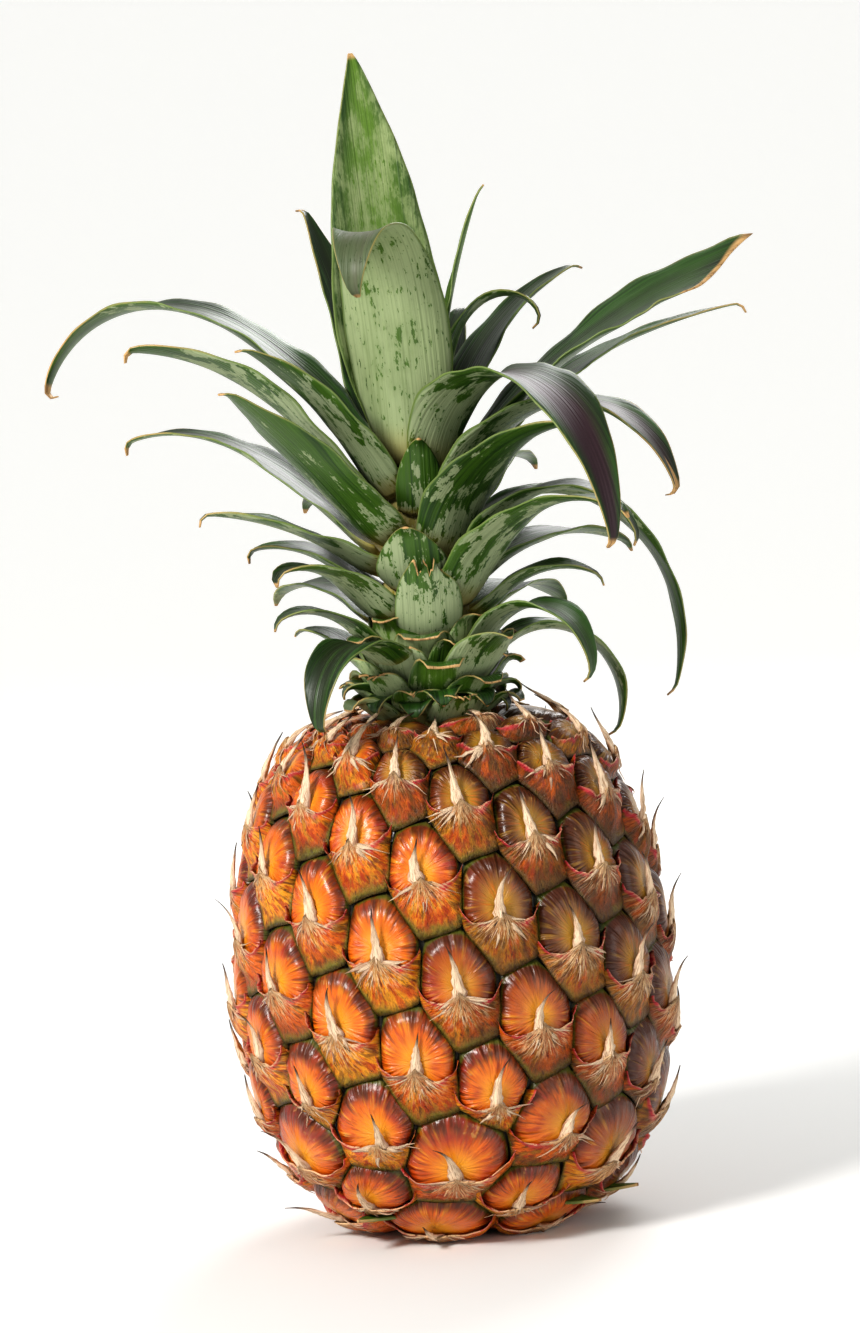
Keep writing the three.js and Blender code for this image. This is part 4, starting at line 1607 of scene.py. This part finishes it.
@dataclass(frozen=True)
class Leaf:
    """One leaf of the crown: its blade, its bend and its look."""

    length: float
    width: float
    rise: float
    end: float
    bend: float
    turn: float = 0.0
    sway: float = 0.0
    twist: float = 0.0
    tip: float = 0.04
    form: Tip = Tip.POINT
    dry: float = 0.4
    purple: float = 0.3
    coat: float = 0.0
    fresh: float = 0.0
    azimuth: float = 0.0
    z: float = 0.0
    sunk: float = 0.0

    THICK = 1.5  # at the foot of the midrib
    EDGE = 0.5  # thickness at the edges and the tip
    WAVE = 0.7  # height of the waves along the edges
    FIRST_AZIMUTH = 24.0
    FOOT_Z = 12.0  # height of the lowest leaf over the stem's foot
    PITCH = 1.6  # rise from one leaf to the next
    STATIONS = 121  # points of the midrib

    def placed(self, number: int) -> "Leaf":
        """The leaf at its place in the crown's spiral.

        Args:
            number: Its number from the lowest up, from 0.

        Returns:
            A leaf with azimuth and height.
        """
        values = dict(self.__dict__)
        values["azimuth"] = self.FIRST_AZIMUTH - GOLDEN_ANGLE * number + self.turn
        values["z"] = self.FOOT_Z + self.PITCH * number
        return Leaf(**values)

    def heading(self, t: float) -> float:
        """The azimuth that the leaf runs towards.

        Args:
            t: Share of its length.

        Returns:
            Radians.
        """
        return math.radians(self.azimuth + self.sway * t**1.5)

    def way(self, t: float) -> np.ndarray:
        """The direction along the leaf.

        Args:
            t: Share of its length.

        Returns:
            A unit vector.
        """
        kick = 28 * max(1 - t * self.length / 10, 0)
        hook = 110 * self.dry * max(1 - (1 - t) * self.length / 5, 0)
        slope = math.radians(mix(self.rise, self.end, t**self.bend) - kick - hook)
        along = outward(self.heading(t)) * math.cos(slope)
        along[2] = math.sin(slope)
        return along

    def midrib(self) -> tuple[np.ndarray, np.ndarray, np.ndarray]:
        """Points along the leaf with its directions.

        Returns:
            The points, the directions to its side and those to its upper face.
        """
        foot = stem_radius(self.z) + GAP + self.THICK / 2 - self.sunk
        point = outward(self.heading(0.0)) * foot
        point[2] = SEAT_Z + GAP + self.z
        points, sides, faces = [], [], []
        step = 1 / (self.STATIONS - 1)
        for k in range(self.STATIONS):
            t = k * step
            way = self.way(t)
            flat = sideways(self.heading(t))
            roll = math.radians(self.twist * t)
            side = flat * math.cos(roll) + np.cross(way, flat) * math.sin(roll)
            points.append(point.copy())
            sides.append(side)
            faces.append(np.cross(way, side))
            point = point + self.way(min(t + step / 2, 1.0)) * self.length * step
        return np.array(points), np.array(sides), np.array(faces)

    def share(self, t: np.ndarray) -> np.ndarray:
        """The blade's width as a share of its widest place.

        Args:
            t: Shares of its length.

        Returns:
            Shares of its width.
        """
        base = min(0.95, 2 * stem_radius(self.z) / self.width)
        low = mix(base, 1.0, np.sin(np.clip(t / 0.3, 0, 1) * math.pi / 2))
        high = mix(1 - np.clip((t - 0.3) / 0.7, 0, 1) ** 1.9, 1.0, self.tip)
        return np.where(t < 0.3, low, high)

    def kept(self, u: np.ndarray, t: np.ndarray) -> np.ndarray:
        """How much of its length the leaf keeps where its end is cut, torn or split.

        Args:
            u: Place across, from -1 to 1.
            t: Share of its length.

        Returns:
            Shares of the length.
        """
        late = smooth_step(0.5, 1.0, t)
        if self.form is Tip.CUT:
            return t * (1 - 0.17 * late * (1 - u) / 2)
        if self.form is Tip.TORN:
            ragged = np.abs(np.sin(4.3 * u + 0.8)) + 0.35 * np.abs(np.sin(13 * u))
            return t * (1 - 0.2 * late * ragged)
        if self.form is Tip.SPLIT:
            return t * (1 - 0.1 * late * (1 - np.abs(u)))
        return t

    def add(self, shape: Shape, spans: int, across: int) -> None:
        """Adds the blade, curled round its midrib, with thin waved edges.

        Args:
            shape: The mesh that it is added to.
            spans: Number of steps along.
            across: Number of steps on each side of the midrib.
        """
        t = np.linspace(0, 1, spans + 1)[:, None] * np.ones(2 * across + 1)
        u = np.ones((spans + 1, 1)) * np.linspace(-1, 1, 2 * across + 1)
        points, sides, faces = self.midrib()
        at = self.kept(u, t)
        known = np.linspace(0, 1, self.STATIONS)
        point, side, face = (
            np.stack([np.interp(at, known, a[:, i]) for i in range(3)], axis=-1)
            for a in (points, sides, faces)
        )
        base = min(0.95, 2 * stem_radius(self.z) / self.width)
        clasp = min(base * self.width / 2 / stem_radius(self.z), 1.1)
        share = self.share(t)
        half = self.width / 2 * share
        turn = mix(clasp, math.radians(24), np.minimum(t * 2.5, 1))
        wave = self.WAVE * np.minimum(4 * t, 1) * share
        phase = 2 * math.pi * t * self.length / 42 + math.radians(self.azimuth) + 2 * u
        ripple = 0.28 * np.sin(2.9 * phase + 1.3 * u) * np.minimum(5 * t, 1) * share
        lift = half * (1 - np.cos(turn * u)) / turn + wave * u**2 * np.sin(phase) + ripple * u**4
        x = half * np.sin(turn * u) / turn
        middle = point + side * x[..., None] + face * lift[..., None]
        normal = face * np.cos(turn * u)[..., None] - side * np.sin(turn * u)[..., None]
        body = mix(self.THICK, self.EDGE, np.maximum(u**2, t)) / 2
        body = np.where(np.abs(u) == 1, body * 0.7, body)
        leaf = np.stack([u, t], axis=-1)
        size = np.stack([u * half / 100, t * self.length / 100], axis=-1)
        seed = (self.azimuth * 0.371) % 1.0
        faces_map = np.stack(
            [
                np.stack([np.full_like(u, value), np.full_like(u, seed)], axis=-1)
                for value in (1.0, 0.0)
            ]
        )
        look = np.stack([np.full_like(u, self.dry), np.full_like(u, self.purple)], axis=-1)
        coat = np.stack([np.full_like(u, self.coat), np.full_like(u, self.fresh)], axis=-1)
        maps = {"leaf": leaf, "size": size, "side": faces_map, "look": look, "coat": coat}
        shape.sheet(middle, normal, body, maps)


LEAVES = (
    Leaf(27, 21, 62, 5, 1.4, turn=12, coat=0.2),
    Leaf(30, 20, 60, -5, 1.5),
    Leaf(66, 17, 70, -118, 0.85, sway=-14, purple=0.1),
    Leaf(54, 17, 64, -106, 1.0, turn=-8, dry=0.8),
    Leaf(40, 22, 52, -35, 1.1),
    Leaf(56, 15, 66, -112, 1.2),
    Leaf(34, 20, 64, -40, 1.4),
    Leaf(56, 20, 52, -40, 1.0),
    Leaf(27, 19, 74, 62, 1.5, turn=-1, tip=0.4, form=Tip.TORN, coat=0.35),
    Leaf(50, 22, 52, -30, 1.1, coat=0.3),
    Leaf(42, 21, 59, -40, 1.25),
    Leaf(42, 23, 62, -24, 1.4, turn=-9, dry=0.8),
    Leaf(60, 24, 54, -25, 1.1),
    Leaf(76, 22, 66, -22, 1.0, turn=8),
    Leaf(44, 21, 60, -20, 1.3, dry=0.8),
    Leaf(62, 23, 54, -27, 0.8),
    Leaf(21, 21, 77, 70, 1.2, turn=6, coat=0.15),
    Leaf(70, 21, 56, -20, 1.1),
    Leaf(68, 20, 68, -80, 1.4),
    Leaf(55, 22, 48, 4, 0.9, turn=-12, dry=0.9),
    Leaf(78, 21, 60, -20, 1.0),
    Leaf(76, 25, 84, -6, 0.7, turn=20, sway=14, dry=0.7),
    Leaf(98, 18, 44, -20, 2.0, dry=0.8),
    Leaf(112, 13, 75, -112, 0.68, turn=9),
    Leaf(71, 26, 50, 36, 1.0, turn=-14, coat=-0.3),
    Leaf(84, 22, 58, -16, 1.0, turn=-5),
    Leaf(99, 25, 80, -84, 1.15, turn=11, form=Tip.SPLIT, purple=0.9, dry=1.0),
    Leaf(91, 26, 64, 0, 1.6, twist=20, dry=0.9, coat=0.3),
    Leaf(130, 17, 48, 7, 0.8, turn=8, sway=-42, dry=0.8, coat=-0.3),
    Leaf(23, 14, 82, 72, 1.5, turn=9),
    Leaf(99, 17, 64, 62, 1.0, turn=-18, sway=24, dry=0.7),
    Leaf(106, 28, 72, 14, 0.6, twist=28, tip=0.85, form=Tip.CUT, coat=-1.6, dry=0.2),
    Leaf(62, 24, 70, 28, 1.0, turn=-6, purple=0.5),
    Leaf(64, 19, 80, 30, 1.0, turn=-8),
    Leaf(120.5, 25, 90, -92, 0.8, turn=5, purple=1.0, dry=0.6),
    Leaf(137, 24, 56, -78, 2.1, turn=-5, dry=1.3, coat=-0.2),
    Leaf(78, 20, 80, 16, 1.0, turn=8),
    Leaf(103, 30, 86, -122, 3.0, turn=14, sway=-8, purple=1.0, coat=0.75, fresh=0.25),
    Leaf(114, 34, 86, 81, 1.0, turn=4, fresh=0.85, coat=0.35, dry=0.2),
    Leaf(66, 20, 87, -110, 3.0, turn=21, purple=0.6),
    Leaf(44, 12, 89, 83, 1.0, turn=4, fresh=0.4),
    Leaf(51, 11, 88, 83, 1.0, turn=3),
    Leaf(30, 12, 87, 84, 1.0),
    Leaf(46, 13, 88, 98, 1.0),
    Leaf(67, 12, 84, 67, 1.0, turn=-4, fresh=0.7, coat=-1.4, dry=0.2),
)


@dataclass
class Crown:
    """The crown: a stem with small scale leaves grown into it, and the large leaves."""

    draw: Draw

    LOW_SCALES = 13
    CLASPING_SCALES = 34

    def stem(self, finish: bpy.types.Material) -> bpy.types.Object:
        """The stem with its scale leaves as one piece.

        Args:
            finish: Material of the leaves.

        Returns:
            The object.
        """
        shape = Shape()
        self.add_core(shape)
        for k in range(self.LOW_SCALES):
            share = k / (self.LOW_SCALES - 1)
            leaf = Leaf(
                length=mix(10, 13, share) * mix(0.9, 1.15, self.draw()),
                width=mix(11, 14, share),
                rise=mix(36, 44, share),
                end=mix(-40, 0, self.draw()),
                bend=1.2,
                azimuth=72 + GOLDEN_ANGLE * k,
                z=mix(6.8, 10.2, share),
                sunk=2.5,
                purple=0.0,
                dry=0.9,
            )
            leaf.add(shape, 14, 6)
        free = np.random.default_rng(4)
        for k in range(self.CLASPING_SCALES):
            share = k / (self.CLASPING_SCALES - 1)
            leaf = Leaf(
                length=mix(13, 17, share) * free.uniform(0.85, 1.15),
                width=mix(17, 19, share) * free.uniform(0.85, 1.1),
                rise=mix(62, 92, share) + free.normal(0, 5),
                end=mix(18, 60, share) + free.normal(0, 14),
                bend=1.3,
                azimuth=20 + GOLDEN_ANGLE * k,
                z=mix(1.5, 20, share**0.9),
                sunk=1.6,
                tip=float(free.choice([0.04, 0.3, 0.5])),
                form=Tip.TORN if free.random() < 0.4 else Tip.POINT,
                purple=0.0,
                dry=0.9,
                coat=float(free.uniform(-0.2, 0.7)),
                fresh=float(free.uniform(0, 0.5)),
            )
            leaf.add(shape, 12, 6)
        return shape.piece("crown_stem", finish)

    @staticmethod
    def add_core(shape: Shape) -> None:
        """Adds the turned core of the stem.

        Args:
            shape: The mesh that it is added to.
        """
        sides = 40
        angle = np.arange(sides) * 2 * math.pi / sides
        profile = zip(STEM_RADII, STEM_HEIGHTS)
        rings = [outward(angle) * r + [0, 0, SEAT_Z + GAP + z] for r, z in profile]
        ends = [[0, 0, SEAT_Z + GAP], [0, 0, SEAT_Z + GAP + 88]]
        points = np.concatenate(rings + [np.array(ends, float)])
        low, high = len(rings) * sides, len(rings) * sides + 1
        faces = []
        for k in range(sides):
            after = (k + 1) % sides
            faces.append([low, after, k])
            for ring in range(len(rings) - 1):
                a, b = ring * sides, (ring + 1) * sides
                faces.append([a + k, a + after, b + after, b + k])
            top = (len(rings) - 1) * sides
            faces.append([top + k, top + after, high])
        n = len(points)
        leaf = np.stack([np.zeros(n), np.full(n, 0.02)], axis=1)
        size = points[:, [0, 2]] / 100
        zero = np.zeros((n, 2))
        maps = {"leaf": leaf, "size": size, "side": zero, "look": zero, "coat": zero}
        shape.add(points, faces, maps)

    @staticmethod
    def leaf(number: int, leaf: Leaf, finish: bpy.types.Material) -> bpy.types.Object:
        """One large leaf.

        Args:
            number: Its number from the lowest up, from 0.
            leaf: The leaf.
            finish: Its material.

        Returns:
            The object.
        """
        shape = Shape()
        leaf.placed(number).add(shape, max(18, round(leaf.length / 2.0)), 8)
        return shape.piece(f"leaf_{number + 1:02d}_blade", finish)


@dataclass
class Stalk:
    """The cut end of the stalk in the fruit's base."""

    def make(self, finish: bpy.types.Material) -> bpy.types.Object:
        """Builds it.

        Args:
            finish: Its material.

        Returns:
            The object.
        """
        piece = cylinder("stalk_end", STALK_RADIUS, 0.0, STALK_HEIGHT, 56)
        piece.data.materials.append(finish)
        return piece


# Studio


@dataclass(frozen=True)
class Lamp:
    """A soft studio light that faces the object."""

    name: str
    place: tuple[float, float, float]
    size: float
    watts: float
    warm: float = 0.0

    def make(self) -> None:
        """Adds the light."""
        data = bpy.data.lights.new(self.name, "AREA")
        data.shape = "DISK"
        data.size = self.size
        data.energy = self.watts
        data.color = (1.0, 1.0 - 0.06 * self.warm, 1.0 - 0.14 * self.warm)
        lamp = bpy.data.objects.new(self.name, data)
        bpy.context.collection.objects.link(lamp)
        aim = Vector((0.0, 0.0, 0.13)) - Vector(self.place)
        turn = aim.to_track_quat("-Z", "Y").to_matrix().to_4x4()
        lamp.matrix_world = Matrix.Translation(self.place) @ turn


@dataclass(frozen=True)
class Studio:
    """Floor, lights and camera."""

    lamps: tuple[Lamp, ...] = (
        Lamp("key", (-0.8, -0.85, 0.95), 0.38, 20.0, 0.3),
        Lamp("fill", (1.0, -0.9, 0.45), 0.9, 3.5),
        Lamp("back", (0.35, 0.9, 0.9), 0.6, 8.0),
    )

    AROUND = 0.36  # strength of the light from all round
    FLOOR_SIZE = 8.0
    WALL_HEIGHT = 5.0
    WALL_BEND = 2.4  # radius between the floor and the wall behind
    LENS = 107.43
    CAMERA_PLACE = (0.0, -1.0863, 0.24473)
    CAMERA_AIM = (-0.00004, 0.0, 0.15348)
    CAMERA_ROLL = -4.4

    def make(self) -> None:
        """Builds the studio."""
        self.floor()
        for lamp in self.lamps:
            lamp.make()
        world = bpy.data.worlds.new("studio")
        bpy.context.scene.world = world
        world.use_nodes = True
        background = world.node_tree.nodes["Background"]
        background.inputs["Color"].default_value = (1.0, 1.0, 1.0, 1.0)
        background.inputs["Strength"].default_value = self.AROUND
        bpy.context.scene.view_settings.view_transform = "Standard"
        bpy.context.scene.view_settings.look = "Medium High Contrast"
        self.camera()

    def floor(self) -> None:
        """Adds the pale floor, which rises softly behind the object."""
        far = self.FLOOR_SIZE / 2 - 0.1
        bpy.ops.object.select_all(action="DESELECT")
        bpy.ops.mesh.primitive_plane_add(size=self.FLOOR_SIZE, location=(0.0, 0.0, 0.0))
        piece = bpy.context.object
        piece.name = "floor"
        bpy.ops.object.mode_set(mode="EDIT")
        mesh = bmesh.from_edit_mesh(piece.data)
        for edge in mesh.edges:
            edge.select = all(v.co.y > far for v in edge.verts)
        mesh.select_mode = {"EDGE"}
        mesh.select_flush_mode()
        bmesh.update_edit_mesh(piece.data)
        rise = {"value": (0.0, 0.0, self.WALL_HEIGHT)}
        bpy.ops.mesh.extrude_region_move(TRANSFORM_OT_translate=rise)
        mesh = bmesh.from_edit_mesh(piece.data)
        for edge in mesh.edges:
            edge.select = all(v.co.y > far and v.co.z < 0.1 for v in edge.verts)
        mesh.select_flush_mode()
        bmesh.update_edit_mesh(piece.data)
        bpy.ops.mesh.bevel(offset=self.WALL_BEND, segments=24, affect="EDGES")
        bpy.ops.object.mode_set(mode="OBJECT")
        bpy.ops.object.shade_smooth()
        piece.data.materials.append(FloorFinish().make())

    def camera(self) -> None:
        """Adds the camera where the photograph was taken from."""
        data = bpy.data.cameras.new("camera")
        data.lens = self.LENS
        data.sensor_width = 36.0
        camera = bpy.data.objects.new("camera", data)
        bpy.context.collection.objects.link(camera)
        place = Vector(self.CAMERA_PLACE)
        aim = Vector(self.CAMERA_AIM) - place
        turn = aim.to_track_quat("-Z", "Y").to_matrix().to_4x4()
        roll = Matrix.Rotation(math.radians(self.CAMERA_ROLL), 4, "Z")
        camera.matrix_world = Matrix.Translation(place) @ turn @ roll
        bpy.context.scene.camera = camera


# Build


def settle(piece: bpy.types.Object, slot: str, *nodes: str) -> None:
    """Hands a piece over to the frame.

    Args:
        piece: The piece.
        slot: Its material slot in the record; not used.
        nodes: The nodes that it stands for.
    """
    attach(piece, "root")
    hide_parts(*nodes)
    faces = sum(len(p.vertices) - 2 for p in piece.data.polygons)
    log.info("%s: %d triangles, in place of %s", piece.name, faces, ", ".join(nodes))


def main() -> None:
    """Builds the pineapple and the studio."""
    logging.basicConfig(level=logging.INFO, format="%(message)s")
    leaf_green = LeafFinish().make()
    fruit = Fruit()
    fruit.grow()
    settle(fruit.skin(FruitFinish().make()), "fruit_skin", "fruit")
    settle(fruit.bracts(BractFinish().make()), "fruit_skin", "fruit")
    settle(fruit.base_bracts(leaf_green), "leaf_green", "fruit")
    settle(fruit.spines(SpineFinish().make()), "fruit_skin", "fruit")
    settle(Stalk().make(WoodFinish().make()), "cut_stalk_wood", "cut_stalk")
    crown = Crown(fruit.draw)
    settle(crown.stem(leaf_green), "leaf_green", "crown_stem")
    for number, leaf in enumerate(LEAVES):
        piece = crown.leaf(number, leaf, leaf_green)
        settle(piece, "leaf_green", f"leaf_{number + 1:02d}")
    Studio().make()


if __name__ == "__main__":
    main()
